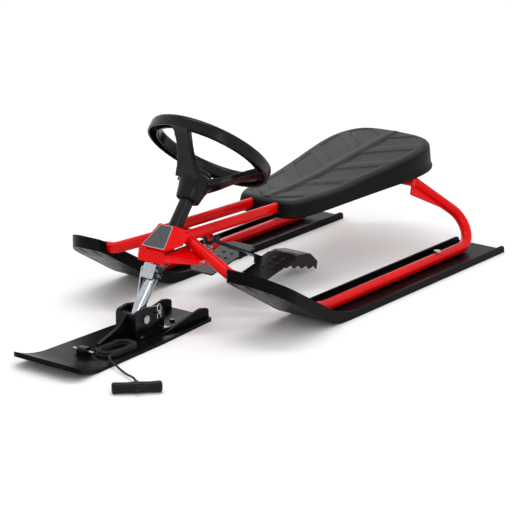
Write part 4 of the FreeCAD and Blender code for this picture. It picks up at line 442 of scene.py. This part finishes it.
route = [(ROPE_START, RIGHTS[0], LOW_Z)]
for i in range(3):
    route += [(HANK_REAR, RIGHTS[i], LOW_Z)] + fold(HANK_REAR, RIGHTS[i], LEFTS[i], LOW_Z, -1)
    route.append((HANK_REAR, LEFTS[i], LOW_Z))
    if i < 2:
        route.append((HANK_FRONT, LEFTS[i], LOW_Z))
        route += fold(HANK_FRONT, LEFTS[i], RIGHTS[i + 1], LOW_Z, 1)
        route.append((HANK_FRONT, RIGHTS[i + 1], LOW_Z))
for i in (2, 1):
    route += [(HANK_FRONT, LEFTS[i], HIGH_Z)] + fold(HANK_FRONT, LEFTS[i], RIGHTS[i], HIGH_Z, 1)
    route += [(HANK_FRONT, RIGHTS[i], HIGH_Z), (HANK_REAR, RIGHTS[i], HIGH_Z)]
    route += fold(HANK_REAR, RIGHTS[i], LEFTS[i - 1], HIGH_Z, -1)
    route.append((HANK_REAR, LEFTS[i - 1], HIGH_Z))
route += [(HANK_FRONT, LEFTS[0], HIGH_Z)] + LEAD
print("rope route", len(route), "points")

# %% Rope line
ROPE_ORDER, ROPE_FINENESS = 3, 24
rope_path = spline_points([(x * MM, y * MM, z * MM) for x, y, z in route], ROPE_ORDER, ROPE_FINENESS)

# %% [markdown]
# ## A tube along a path
# The rope, its knot and the brake's spring are tubes. The ring at each point is carried along without
# twisting, so the surface pattern runs true, and the radius may be changed point by point for the
# braid. A closed path ends on its first ring, turned to the point that lies nearest.


# %% Tube helper
def tube(name, path, sides, radius, coat, closed=False):
    """Mesh tube along a path; radius(length along, angle) gives its surface."""
    bm = bmesh.new()
    count = len(path)
    tangents = []
    for i in range(count):
        ahead = path[(i + 1) % count] if closed or i < count - 1 else path[i]
        behind = path[i - 1] if closed or i > 0 else path[i]
        tangents.append((ahead - behind).normalized())
    side = tangents[0].orthogonal().normalized()
    travelled = 0.0
    rings = []
    for i, spot in enumerate(path):
        if i:
            side = (tangents[i - 1].rotation_difference(tangents[i]) @ side).normalized()
            travelled += (spot - path[i - 1]).length
        side = (side - tangents[i] * side.dot(tangents[i])).normalized()
        up = tangents[i].cross(side)
        ring = []
        for k in range(sides):
            angle = 2 * math.pi * k / sides
            out = side * math.cos(angle) + up * math.sin(angle)
            ring.append(bm.verts.new(spot + out * radius(travelled, angle)))
        rings.append(ring)
    skin(bm, rings)
    if closed:
        shift = min(range(sides), key=lambda k: (rings[0][k].co - rings[-1][0].co).length)
        skin(bm, [rings[-1], rings[0][shift:] + rings[0][:shift]])
    else:
        cap(bm, rings)
    for face in bm.faces:
        face.smooth = True
    return piece(name, bm, coat)


print("tube helper ready")

# %% [markdown]
# ## Braid
# A braided cord has strands that cross in both directions. Two sine waves that run round the tube in
# opposite senses raise a diamond at each crossing. The spline above is read finely enough for each
# diamond to have several rings.

# %% Braided rope
BRAID_MM = 5.0
BRAID_STRANDS = 4
BRAID_RELIEF = 0.10
ROPE_SIDES = 12


def braid_radius(length, angle):
    """Rope surface with a raised diamond at each strand crossing."""
    wave = 2 * math.pi * length / (BRAID_MM * MM)
    lean = BRAID_STRANDS * angle / 2
    cross = math.sin(lean + wave) * math.sin(lean - wave)
    return (ROPE_R - ROPE_R * BRAID_RELIEF / 2 + ROPE_R * BRAID_RELIEF / 2 * cross) * MM


rope = tube("tow_rope", rope_path, ROPE_SIDES, braid_radius, braid)
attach(rope, "front_ski")
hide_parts("tow_rope_hank", "tow_rope_lead")
print("rope faces", len(rope.data.polygons))

# %% [markdown]
# ## Knot
# The rope goes through the handle and is stopped by a knot on its far side. A closed trefoil has the
# crossings of an overhand knot and can be written in one line, so the knot is a tube along it, sized to
# the CAD solid that it replaces.

# %% Knot
KNOT_STEPS, KNOT_SIDES = 72, 10
KNOT_ROPE_SHARE = 0.30
KNOT_FLAT = 0.55
TREFOIL_REACH = 3
knot_low, knot_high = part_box("rope_knot")
knot_centre = (knot_low + knot_high) / 2
knot_half = (knot_high - knot_low).x / 2
knot_path = []
for k in range(KNOT_STEPS):
    a = 2 * math.pi * k / KNOT_STEPS
    loop = Vector((math.sin(a) + 2 * math.sin(2 * a), math.cos(a) - 2 * math.cos(2 * a),
                   -KNOT_FLAT * 2 * math.sin(3 * a)))
    knot_path.append(knot_centre + loop * (knot_half * (1 - KNOT_ROPE_SHARE) / TREFOIL_REACH))
knot = tube("rope_end_knot", knot_path, KNOT_SIDES,
            lambda length, angle: knot_half * KNOT_ROPE_SHARE, braid, closed=True)
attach(knot, "front_ski")
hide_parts("rope_knot")
print("knot about", [round(c, 3) for c in knot_centre])

# %% [markdown]
# ## Seat moulding
# The real seat is one soft-edged moulding: a pear-shaped top with a raised spine, herringbone panels
# on both sides, a rounded shoulder and a small lip along its lower edge. The CAD solid has its size
# and place but plain corners. Here rings follow a smooth outline, and each ring steps inwards towards
# a line along the seat's middle, so the shoulder can be as round as the real one. Heights come from
# the CAD solid by rays, which keeps both in one place.


# %% Seat outline
def ray_tree(node):
    """Ray tree of a CAD solid."""
    mesh = nodes[node].data
    faces = [list(p.vertices) for p in mesh.polygons]
    return BVHTree.FromPolygons([v.co for v in mesh.vertices], faces)


# (share of the length from the front, half width in mm) along one side of the outline
SEAT_SIDE = [(0.0, 38), (0.022, 68), (0.10, 85), (0.28, 94), (0.46, 103), (0.60, 112), (0.72, 119),
             (0.83, 119), (0.92, 105), (0.975, 77), (1.0, 38)]
SEAT_ORDER, SEAT_FINENESS = 4, 12
LIP_ROOM, LENGTH_FIT = 0.003, 0.995
seat_from, seat_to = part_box("seat")
seat_length = seat_to.x - seat_from.x
near_side = [(seat_to.x - share * seat_length, half * MM, 0.0) for share, half in SEAT_SIDE]
far_side = [(x, -y, 0.0) for x, y, z in reversed(near_side)]
drawn_line = spline_points(near_side + far_side, SEAT_ORDER, SEAT_FINENESS, closed=True)
drawn_x = [p.x for p in drawn_line]
fit_x = seat_length / (max(drawn_x) - min(drawn_x)) * LENGTH_FIT
fit_y = (seat_to.y - LIP_ROOM) / max(p.y for p in drawn_line)
drawn_middle = (max(drawn_x) + min(drawn_x)) / 2
seat_middle = (seat_to.x + seat_from.x) / 2
seat_outline = [Vector((seat_middle + (p.x - drawn_middle) * fit_x, p.y * fit_y, 0.0))
                for p in drawn_line]
print("seat outline", len(seat_outline), "points")

# %% Seat heights
SEAT_LOW_FRONT, SEAT_LOW_REAR = 0.147, 0.167
TOP_SAMPLES, TOP_MARGIN = 40, 0.03
SEAT_DIP, DIP_REACH = 0.001, 0.9
seat_rays = ray_tree("seat")
top_line = []
for k in range(TOP_SAMPLES + 1):
    share = k / TOP_SAMPLES
    x = seat_to.x - TOP_MARGIN - (seat_length - 2 * TOP_MARGIN) * share
    hit = seat_rays.ray_cast(Vector((x, 0.0, 1.0)), Vector((0, 0, -1)))[0]
    dip = SEAT_DIP * math.sin(math.pi * min(1.0, share / DIP_REACH)) ** 2
    top_line.append((x, hit.z - dip))


def seat_low_at(x):
    """Lower edge of the seat at a given x."""
    share = (seat_to.x - x) / seat_length
    return SEAT_LOW_FRONT + (SEAT_LOW_REAR - SEAT_LOW_FRONT) * share


def seat_top_at(x):
    """Height of the CAD seat's top along its middle."""
    if x >= top_line[0][0]:
        return top_line[0][1]
    for (x0, z0), (x1, z1) in zip(top_line, top_line[1:]):
        if x >= x1:
            return z0 + (z1 - z0) * (x0 - x) / (x0 - x1)
    return top_line[-1][1]


print("seat top from", round(top_line[0][1], 3), "to", round(top_line[-1][1], 3), "m")

# %% Seat relief
PANEL_START, PANEL_PERIOD, PANEL_SHARE, PANEL_SWEEP = 0.045, 0.100, 0.66, 0.85
PANEL_INNER, PANEL_EDGE, PANEL_DEEP, PANEL_SOFT = 0.013, 0.024, 0.0014, 0.0016
SPINE_HALF, SPINE_HIGH, SPINE_FLAT = 0.010, 0.0022, 0.3


def soft_step(value):
    """Soft step from 0 to 1."""
    value = min(1.0, max(0.0, value))
    return value * value * (3 - 2 * value)


def seat_relief(x, y, inset):
    """Raised spine and sunk herringbone panels."""
    spine = SPINE_HIGH * (1 - soft_step((abs(y) - SPINE_HALF * SPINE_FLAT) / SPINE_HALF))
    along = ((seat_to.x - PANEL_START - x) - abs(y) * PANEL_SWEEP) / PANEL_PERIOD
    part = along - math.floor(along)
    inside = min(part, PANEL_SHARE - part) * PANEL_PERIOD
    inside = min(inside, abs(y) - PANEL_INNER, inset - PANEL_EDGE)
    return spine - PANEL_DEEP * soft_step(inside / PANEL_SOFT + 0.5)


print("panels every", PANEL_PERIOD / MM, "mm")

# %% Seat rings
# (inset, rise) of the lip, shares of the wall's height, and turns of the shoulder in degrees
LIP_STEPS = [(-0.0022, 0.0), (-0.0026, 0.002), (-0.0024, 0.0045), (0.0, 0.0062)]
LIP_TOP = LIP_STEPS[-1][1]
WALL_SHARES = (0.35, 0.7, 1.0)
SHOULDER_TURNS = (18, 36, 54, 72, 90)
WALL_DRAFT, SHOULDER, CROWN = 0.003, 0.015, 0.004
INNER_RINGS, INNER_REACH = 46, 0.995
SPINE_FRONT, SPINE_REAR = seat_to.x - 0.05, seat_from.x + 0.10
bm = bmesh.new()
rings = []


def seat_ring(inset_of, height_of):
    """One ring: the outline moved towards the spine by inset_of(span), at height_of(spot, inset)."""
    ring = []
    for p in seat_outline:
        spine = Vector((min(SPINE_FRONT, max(SPINE_REAR, p.x)), 0.0, 0.0))
        span = (p - spine).length
        inset = inset_of(span)
        spot = spine + (p - spine) * ((span - inset) / span)
        ring.append(bm.verts.new((spot.x, spot.y, height_of(spot, inset))))
    rings.append(ring)


def wall_height(spot, share):
    """Height on the wall between the lip and the shoulder."""
    low = seat_low_at(spot.x) + LIP_TOP
    return low + (seat_top_at(spot.x) - SHOULDER - low) * share


def shoulder_height(spot, angle):
    """Height on the rounded shoulder."""
    fall = SHOULDER * (1 - math.sin(angle)) + CROWN * math.sin(angle) * 0.5
    return seat_top_at(spot.x) - fall


def top_height(spot, inset, share):
    """Height on the crowned top, with its relief."""
    crown = CROWN * (1 - (1 - share) ** 2) * 0.5 - CROWN * 0.5
    return seat_top_at(spot.x) + crown + seat_relief(spot.x, spot.y, inset)


for lip_inset, rise in LIP_STEPS:
    seat_ring(lambda span: lip_inset, lambda spot, inset: seat_low_at(spot.x) + rise)
for share in WALL_SHARES:
    seat_ring(lambda span: WALL_DRAFT * share, lambda spot, inset: wall_height(spot, share))
for angle in map(math.radians, SHOULDER_TURNS):
    seat_ring(lambda span: WALL_DRAFT + SHOULDER * (1 - math.cos(angle)),
              lambda spot, inset: shoulder_height(spot, angle))
top_inset = WALL_DRAFT + SHOULDER
for k in range(1, INNER_RINGS + 1):
    share = k / INNER_RINGS
    seat_ring(lambda span: top_inset + (span * INNER_REACH - top_inset) * share,
              lambda spot, inset: top_height(spot, inset, share))
print("seat rings", len(rings))

# %% Seat piece
SEAT_WALL = 0.0035
SPINE_JOIN = 0.0012
skin(bm, rings)
bm.faces.new(rings[-1])
bmesh.ops.remove_doubles(bm, verts=rings[-1], dist=SPINE_JOIN)
for face in bm.faces:
    face.smooth = True
seat_piece = piece("seat_moulding", bm, seat_plastic)
shell = seat_piece.modifiers.new("wall", "SOLIDIFY")
shell.thickness = SEAT_WALL
shell.offset = -1
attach(seat_piece, "frame")
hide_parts("seat")
print("seat faces", len(seat_piece.data.polygons))

# %% [markdown]
# ## Steering wheel
# The wheel is one moulding: a deep rim that is hollow underneath, three spokes that drop to the hub
# and a cone round the column. Simple closed shapes are laid into each other and melted together by a
# voxel remesh, which leaves the soft inner corners that such a moulding has.

# %% Wheel sizes
WHEEL_AT = Vector((0.221, 0.0, 0.143))
WHEEL_TILT = math.radians(40)
# (radius, height along the axis) in mm
RIM = [(123, 206), (123, 224), (121.5, 228.5), (117, 231), (107, 231), (103, 228.5), (101.5, 224),
       (101.5, 208), (105.5, 208), (106, 223), (108, 226), (115.5, 226), (118, 223.5), (118.5, 206)]
HUB = [(14.0, 111), (21.5, 110.5), (23.5, 113), (27, 132), (31.5, 146), (35, 153), (34, 158), (26, 162),
       (24, 171), (22, 173), (8.0, 173), (8.0, 168.6), (14.0, 168.6)]
LATHE_STEPS = 120
# (turn in degrees, width in mm), and (radius, height, share of the width) along a spoke
SPOKES = [(0, 31), (120, 27), (240, 27)]
SPOKE_LINE = [(112, 218, 1.35), (100, 212, 1.15), (82, 198.5, 1.05), (62, 181, 1.1), (46, 166, 1.35),
              (26, 152, 1.95)]
SPOKE_THICK = 15.0
SPOKE_CORNERS = ((1, -1), (1, 1), (-1, 1), (-1, -1))
wheel_up = Vector((-math.sin(WHEEL_TILT), 0.0, math.cos(WHEEL_TILT)))
wheel_ahead = Vector((math.cos(WHEEL_TILT), 0.0, math.sin(WHEEL_TILT)))
wheel_side = Vector((0.0, 1.0, 0.0))


def on_wheel(radius, angle, rise):
    """A point of the wheel: radius and angle about its axis, and height along the axis, in mm."""
    out = wheel_ahead * math.cos(angle) + wheel_side * math.sin(angle)
    return WHEEL_AT + (out * radius + wheel_up * rise) * MM


print("wheel", RIM[0][0] * 2, "mm across")

# %% Wheel shapes
bm = bmesh.new()
for profile in (RIM, HUB):
    rounds = []
    for k in range(LATHE_STEPS):
        angle = 2 * math.pi * k / LATHE_STEPS
        rounds.append([bm.verts.new(on_wheel(r, angle, t)) for r, t in profile])
    skin(bm, rounds + rounds[:1])
for turn, wide in SPOKES:
    angle = math.radians(turn)
    across = wheel_side * math.cos(angle) - wheel_ahead * math.sin(angle)
    deep = wheel_up * (SPOKE_THICK / 2 * MM)
    sections = []
    for radius, rise, share in SPOKE_LINE:
        middle = on_wheel(radius, angle, rise)
        half = across * (wide * share / 2 * MM)
        sections.append([bm.verts.new(middle + half * a + deep * b) for a, b in SPOKE_CORNERS])
    skin(bm, sections)
    cap(bm, sections)
wheel_piece = piece("wheel_moulding", bm, satin_plastic)
print("wheel shapes", len(wheel_piece.data.polygons), "faces")

# %% Wheel melted into one
VOXEL, EASE_FACTOR, EASE_STEPS = 0.0013, 0.5, 5
melt = wheel_piece.modifiers.new("melt", "REMESH")
melt.mode = "VOXEL"
melt.voxel_size = VOXEL
ease = wheel_piece.modifiers.new("ease", "SMOOTH")
ease.factor = EASE_FACTOR
ease.iterations = EASE_STEPS
bpy.context.view_layer.update()
evaluated = wheel_piece.evaluated_get(bpy.context.evaluated_depsgraph_get())
melted = bpy.data.meshes.new_from_object(evaluated)
wheel_piece.modifiers.clear()
wheel_piece.data = melted
for face in melted.polygons:
    face.use_smooth = True
melted.materials.clear()
melted.materials.append(satin_plastic)
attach(wheel_piece, "steering")
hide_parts("steering_wheel")
print("wheel faces", len(melted.polygons))

# %% [markdown]
# ## Upper bars
# The two bars from the head to the seat are flattened tube: tall, narrow and round on all sides. A
# superellipse gives that section with one exponent, and it is swept along the middle line of the CAD
# bar, whose box gives both ends.

# %% Flattened bars
BAR_HALF_WIDE, BAR_HALF_TALL, BAR_POWER, BAR_SIDES = 0.0066, 0.0106, 2.7, 40
# (share of the length, share of the section): both ends are rounded over
BAR_STATIONS = ((0.0, 0.84), (0.0015, 0.96), (0.004, 1.0), (0.5, 1.0), (0.996, 1.0), (1.0, 0.96))


def flattened(value, half):
    """One coordinate of the superellipse, from a sine or cosine."""
    return math.copysign(abs(value) ** (2 / BAR_POWER), value) * half


for side_name in ("left", "right"):
    bar_from, bar_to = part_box("upper_bar_" + side_name)
    middle_y = (bar_from.y + bar_to.y) / 2
    lean = math.atan2(bar_to.z - bar_from.z - BAR_HALF_TALL * 2, bar_to.x - bar_from.x)
    inward = BAR_HALF_TALL * math.sin(lean)
    rear = Vector((bar_from.x + inward, middle_y, bar_from.z + BAR_HALF_TALL))
    front = Vector((bar_to.x - inward, middle_y, bar_to.z - BAR_HALF_TALL))
    aim = (front - rear).normalized()
    rise = Vector((-aim.z, 0.0, aim.x))
    bm = bmesh.new()
    sections = []
    for share, shrink in BAR_STATIONS:
        spot = rear + (front - rear) * share
        section = []
        for k in range(BAR_SIDES):
            turn = 2 * math.pi * k / BAR_SIDES
            wide = Vector((0, flattened(math.cos(turn), BAR_HALF_WIDE * shrink), 0))
            tall = rise * flattened(math.sin(turn), BAR_HALF_TALL * shrink)
            section.append(bm.verts.new(spot + wide + tall))
        sections.append(section)
    skin(bm, sections)
    for face in bm.faces:
        face.smooth = True
    cap(bm, sections)
    bar_piece = piece("flat_bar_" + side_name, bm, red_coat)
    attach(bar_piece, "frame")
    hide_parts("upper_bar_" + side_name)
    print("bar", side_name, round((front - rear).length, 3), "m")

# %% [markdown]
# ## Cross plate under the head
# A folded steel plate ties the head to both tubes: a front band, a base with a hole for the head tube,
# two side walls and a short wing up to the underside of each tube. It is drawn as one thin sheet,
# filled between its outline and the hole, and given the sheet's thickness and a small edge radius.

# %% Plate base, in mm
PLATE_FRONT, PLATE_REAR, PLATE_HALF, PLATE_Z = 260, 190, 29, 135
HOLE_MIDDLE, HOLE_LONG, HOLE_WIDE, HOLE_STEPS = 227.7, 24.0, 18.4, 36
bm = bmesh.new()


def plate_spot(x, y, z):
    """A corner of the plate, in mm."""
    return bm.verts.new((x * MM, y * MM, z * MM))


base = {}
for hand in (1, -1):
    base[hand] = (plate_spot(PLATE_FRONT, PLATE_HALF * hand, PLATE_Z),
                  plate_spot(PLATE_REAR, PLATE_HALF * hand, PLATE_Z))
hole = []
for k in range(HOLE_STEPS):
    turn = 2 * math.pi * k / HOLE_STEPS
    hole_x = HOLE_MIDDLE + HOLE_LONG * math.cos(turn)
    hole.append(plate_spot(hole_x, HOLE_WIDE * math.sin(turn), PLATE_Z))
rim_edges = []
for loop in ([base[1][0], base[1][1], base[-1][1], base[-1][0]], hole):
    rim_edges += [bm.edges.new((a, b)) for a, b in zip(loop, loop[1:] + loop[:1])]
bmesh.ops.triangle_fill(bm, use_beauty=True, edges=rim_edges)
print("plate base", len(bm.faces), "faces")

# %% Plate walls and wings, in mm
BAND_TOP, WALL_FRONT, WALL_Z = (253.5, 157), 254.5, 151.5
WING_OUT, WING_FRONT, WING_REAR, WING_Z = 72, 206, 187, 135.5
LIP_END, LIP_START = (207, 129), (258, 30, 139)
SHEET, EDGE_ROUND = 0.0025, 0.0007
band = {}
for hand in (1, -1):
    near, rear = base[hand]
    band_top = plate_spot(BAND_TOP[0], PLATE_HALF * hand, BAND_TOP[1])
    wall_front = plate_spot(WALL_FRONT, PLATE_HALF * hand, WALL_Z)
    wall_rear = plate_spot(PLATE_REAR, PLATE_HALF * hand, WALL_Z)
    wing_front = plate_spot(WING_FRONT, WING_OUT * hand, WING_Z)
    wing_rear = plate_spot(WING_REAR, WING_OUT * hand, WING_Z)
    lip_end = plate_spot(LIP_END[0], WING_OUT * hand, LIP_END[1])
    lip_start = plate_spot(LIP_START[0], LIP_START[1] * hand, LIP_START[2])
    bm.faces.new((near, wall_front, wall_rear, rear))
    bm.faces.new((wall_front, wing_front, wing_rear, wall_rear))
    bm.faces.new((wall_front, lip_start, lip_end, wing_front))
    band[hand] = (near, wall_front, band_top)
for low, high in ((0, 1), (1, 2)):
    bm.faces.new((band[1][low], band[-1][low], band[-1][high], band[1][high]))
cross_plate = piece("head_cross_plate", bm, red_coat)
thick = cross_plate.modifiers.new("sheet", "SOLIDIFY")
thick.thickness = SHEET
thick.offset = 0
edge = cross_plate.modifiers.new("edge", "BEVEL")
edge.width = EDGE_ROUND
edge.segments = 2
edge.limit_method = "ANGLE"
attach(cross_plate, "frame")
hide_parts("head_wing")
print("cross plate faces", len(cross_plate.data.polygons))

# %% [markdown]
# ## Return spring of the brake
# A coil of plated wire stands on the spring bracket and pushes the brake plate up. Its end turns lie
# closer than the turns between them. The wire is a tube along a helix whose rise slows down at both
# ends.

# %% Return spring
COIL_TURNS, COIL_STEPS, COIL_WIRE, COIL_SIDES = 7, 28, 1.2, 10
COIL_KEEP, COIL_CLOSE = 0.9, 0.55
coil_low, coil_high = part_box("brake_spring")
coil_middle = (coil_low + coil_high) / 2
coil_radius = (coil_high.x - coil_low.x) / 2 - COIL_WIRE * MM
coil_rise = coil_high.z - coil_low.z - COIL_WIRE * 2 * MM
coil_path = []
for k in range(COIL_TURNS * COIL_STEPS + 1):
    share = k / (COIL_TURNS * COIL_STEPS)
    turn = 2 * math.pi * COIL_TURNS * share
    height = coil_rise * (share - math.sin(2 * math.pi * share) / (2 * math.pi) * COIL_CLOSE)
    coil_path.append(Vector((coil_middle.x + coil_radius * math.cos(turn),
                             coil_middle.y + coil_radius * math.sin(turn),
                             coil_low.z + COIL_WIRE * MM + height)))
coil = tube("return_spring", coil_path, COIL_SIDES, lambda length, angle: COIL_WIRE * MM, zinc)
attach(coil, "frame")
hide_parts("brake_spring")
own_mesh(coil)
print("spring", COIL_TURNS, "turns,", round((coil_high.z - coil_low.z) / MM, 1), "mm tall")

# %% [markdown]
# ## Plain field on the steering head
# The front plate of the head carries a plain dark film with a pale edge. Vinyl film is a smooth
# calendered sheet with a soft gloss, and a faint speck keeps it from looking painted. Each film is a
# thin sheet with rounded corners, laid on the sloped plate where a ray finds its face.

# %% Film finishes
SPECK_MM = 5.0
FILM_SHADES = {
    "vinyl_film_pale_edge": ("#A9ABAE", "#B9BBBE"),
    "vinyl_film_dark_grey": ("#3B3D40", "#4A4C50"),
}
films = {}
for name, (dark, pale) in FILM_SHADES.items():
    films[name], tree, shader, place = finish(name, Roughness=0.4, Specular_IOR_Level=0.3)
    speck = add(tree, NOISE, values={"Scale": per_mm(SPECK_MM), "Detail": 3.0},
                links={"Vector": (place, "Object")})
    add(tree, RAMP, links={"Fac": (speck, "Fac")}, stops=[(0.3, linear(dark)), (0.7, linear(pale))],
        feeds={"Color": (shader, "Base Color")})
print("made", ", ".join(films))

# %% Film sheets
HEAD_TOP, HEAD_LOW = Vector((0.206, 0.017, 0.1925)), Vector((0.252, 0.029, 0.158))
FILM_ROUND, FILM_THICK = 0.004, 0.0003
ROUND_SHARES = (0.0, 0.25, 0.5, 0.75, 1.0)
RAY_START = 0.2
# piece: (material, inset from the plate's edges, height over the plate)
FILM_PIECES = {
    "head_film_edge": ("vinyl_film_pale_edge", 0.0022, 0.0004),
    "head_film_field": ("vinyl_film_dark_grey", 0.0034, 0.0008),
}
plate_run = Vector((HEAD_LOW.x - HEAD_TOP.x, 0.0, HEAD_LOW.z - HEAD_TOP.z))
plate_down = plate_run.normalized()
plate_out = Vector((-plate_down.z, 0.0, plate_down.x))
plate_middle = Vector((HEAD_TOP.x, 0.0, HEAD_TOP.z)) + plate_run / 2
plate_hit = ray_tree("steering_head").ray_cast(plate_middle + plate_out * RAY_START, -plate_out)[0]
plate_rise = (plate_hit - plate_middle).dot(plate_out)
print("front plate lies", round(plate_rise / MM, 2), "mm off its drawn plane")

for name, (film_name, inset, proud) in FILM_PIECES.items():
    top_end, low_end = inset, plate_run.length - inset
    top_half, low_half = HEAD_TOP.y - inset, HEAD_LOW.y - inset
    corners = [Vector(c) for c in ((top_end, top_half), (low_end, low_half), (low_end, -low_half),
                                   (top_end, -top_half))]
    origin = Vector((HEAD_TOP.x, 0.0, HEAD_TOP.z)) + plate_out * (plate_rise + proud)
    bm = bmesh.new()
    outline = []
    for k, here in enumerate(corners):
        first = here + (corners[k - 1] - here).normalized() * FILM_ROUND
        last = here + (corners[(k + 1) % 4] - here).normalized() * FILM_ROUND
        for share in ROUND_SHARES:
            spot = first.lerp(here, share).lerp(here.lerp(last, share), share)
            outline.append(bm.verts.new(origin + plate_down * spot.x + Vector((0, spot.y, 0))))
    bm.faces.new(outline)
    film_piece = piece(name, bm, films[film_name])
    thick = film_piece.modifiers.new("film", "SOLIDIFY")
    thick.thickness = FILM_THICK
    thick.offset = 0
    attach(film_piece, "frame")
    print("laid", name)

# %% [markdown]
# ## Studio
# A pale floor and a white world give an even light at which a colour renders about as written. A
# narrow lamp above and a strip behind and in front give the forms their shade and highlights. Camera,
# mirror and glass rays see the world as plain white, and the floor keeps the sled's shadow.

# %% Floor
FLOOR_HALF = 30.0
PAPER_SCALE = 2.0
FLOOR_CORNERS = ((-1, -1), (1, -1), (1, 1), (-1, 1))
paper, tree, shader, place = finish("studio_paper", Roughness=0.9, Specular_IOR_Level=0.1)
tone = add(tree, NOISE, values={"Scale": PAPER_SCALE}, links={"Vector": (place, "Object")})
add(tree, RAMP, links={"Fac": (tone, "Fac")},
    stops=[(0.3, linear("#FBFBFB")), (0.7, linear("#FFFFFF"))],
    feeds={"Color": (shader, "Base Color")})
floor_mesh = bpy.data.meshes.new("studio_floor")
floor_spots = [(x * FLOOR_HALF, y * FLOOR_HALF, 0.0) for x, y in FLOOR_CORNERS]
floor_mesh.from_pydata(floor_spots, [], [(0, 1, 2, 3)])
floor_mesh.materials.append(paper)
floor = bpy.data.objects.new("studio_floor", floor_mesh)
scene.collection.objects.link(floor)
print("floor", FLOOR_HALF * 2, "m wide")

# %% World
SKY_LIGHT, SKY_SEEN = 0.92, 1.0
world = bpy.data.worlds.new("studio_world")
scene.world = world
world.use_nodes = True
tree = world.node_tree
sky = tree.nodes["Background"]
sky.inputs["Color"].default_value = (1, 1, 1, 1)
rays = add(tree, "ShaderNodeLightPath")
seen = add(tree, MATHS, settings={"operation": "MAXIMUM"},
           links={0: (rays, "Is Camera Ray"), 1: (rays, "Is Glossy Ray")})
clear = add(tree, MATHS, settings={"operation": "MAXIMUM"},
            links={0: (seen, "Value"), 1: (rays, "Is Transmission Ray")})
add(tree, "ShaderNodeMapRange", values={"To Min": SKY_LIGHT, "To Max": SKY_SEEN},
    links={"Value": (clear, "Value")}, feeds={"Result": (sky, "Strength")})
print("sky light", SKY_LIGHT)

# %% Lamps
# lamp: (place, width, length, watts)
LAMPS = {
    "overhead": ((0.2, -0.3, 2.8), 0.2, 1.8, 16.0),
    "rear_strip": ((-2.4, -2.2, 1.5), 1.4, 0.25, 6.0),
    "front_strip": ((1.6, 2.6, 1.9), 0.1, 1.3, 16.0),
}
for name, (spot, width, length, watts) in LAMPS.items():
    lamp_data = bpy.data.lights.new(name, "AREA")
    lamp_data.shape = "RECTANGLE"
    lamp_data.size = width
    lamp_data.size_y = length
    lamp_data.energy = watts
    lamp = bpy.data.objects.new(name, lamp_data)
    lamp.location = spot
    lamp.rotation_euler = (AIM - Vector(spot)).to_track_quat("-Z", "Y").to_euler()
    scene.collection.objects.link(lamp)
scene.view_settings.view_transform = "Standard"
print("lamps", len(LAMPS))
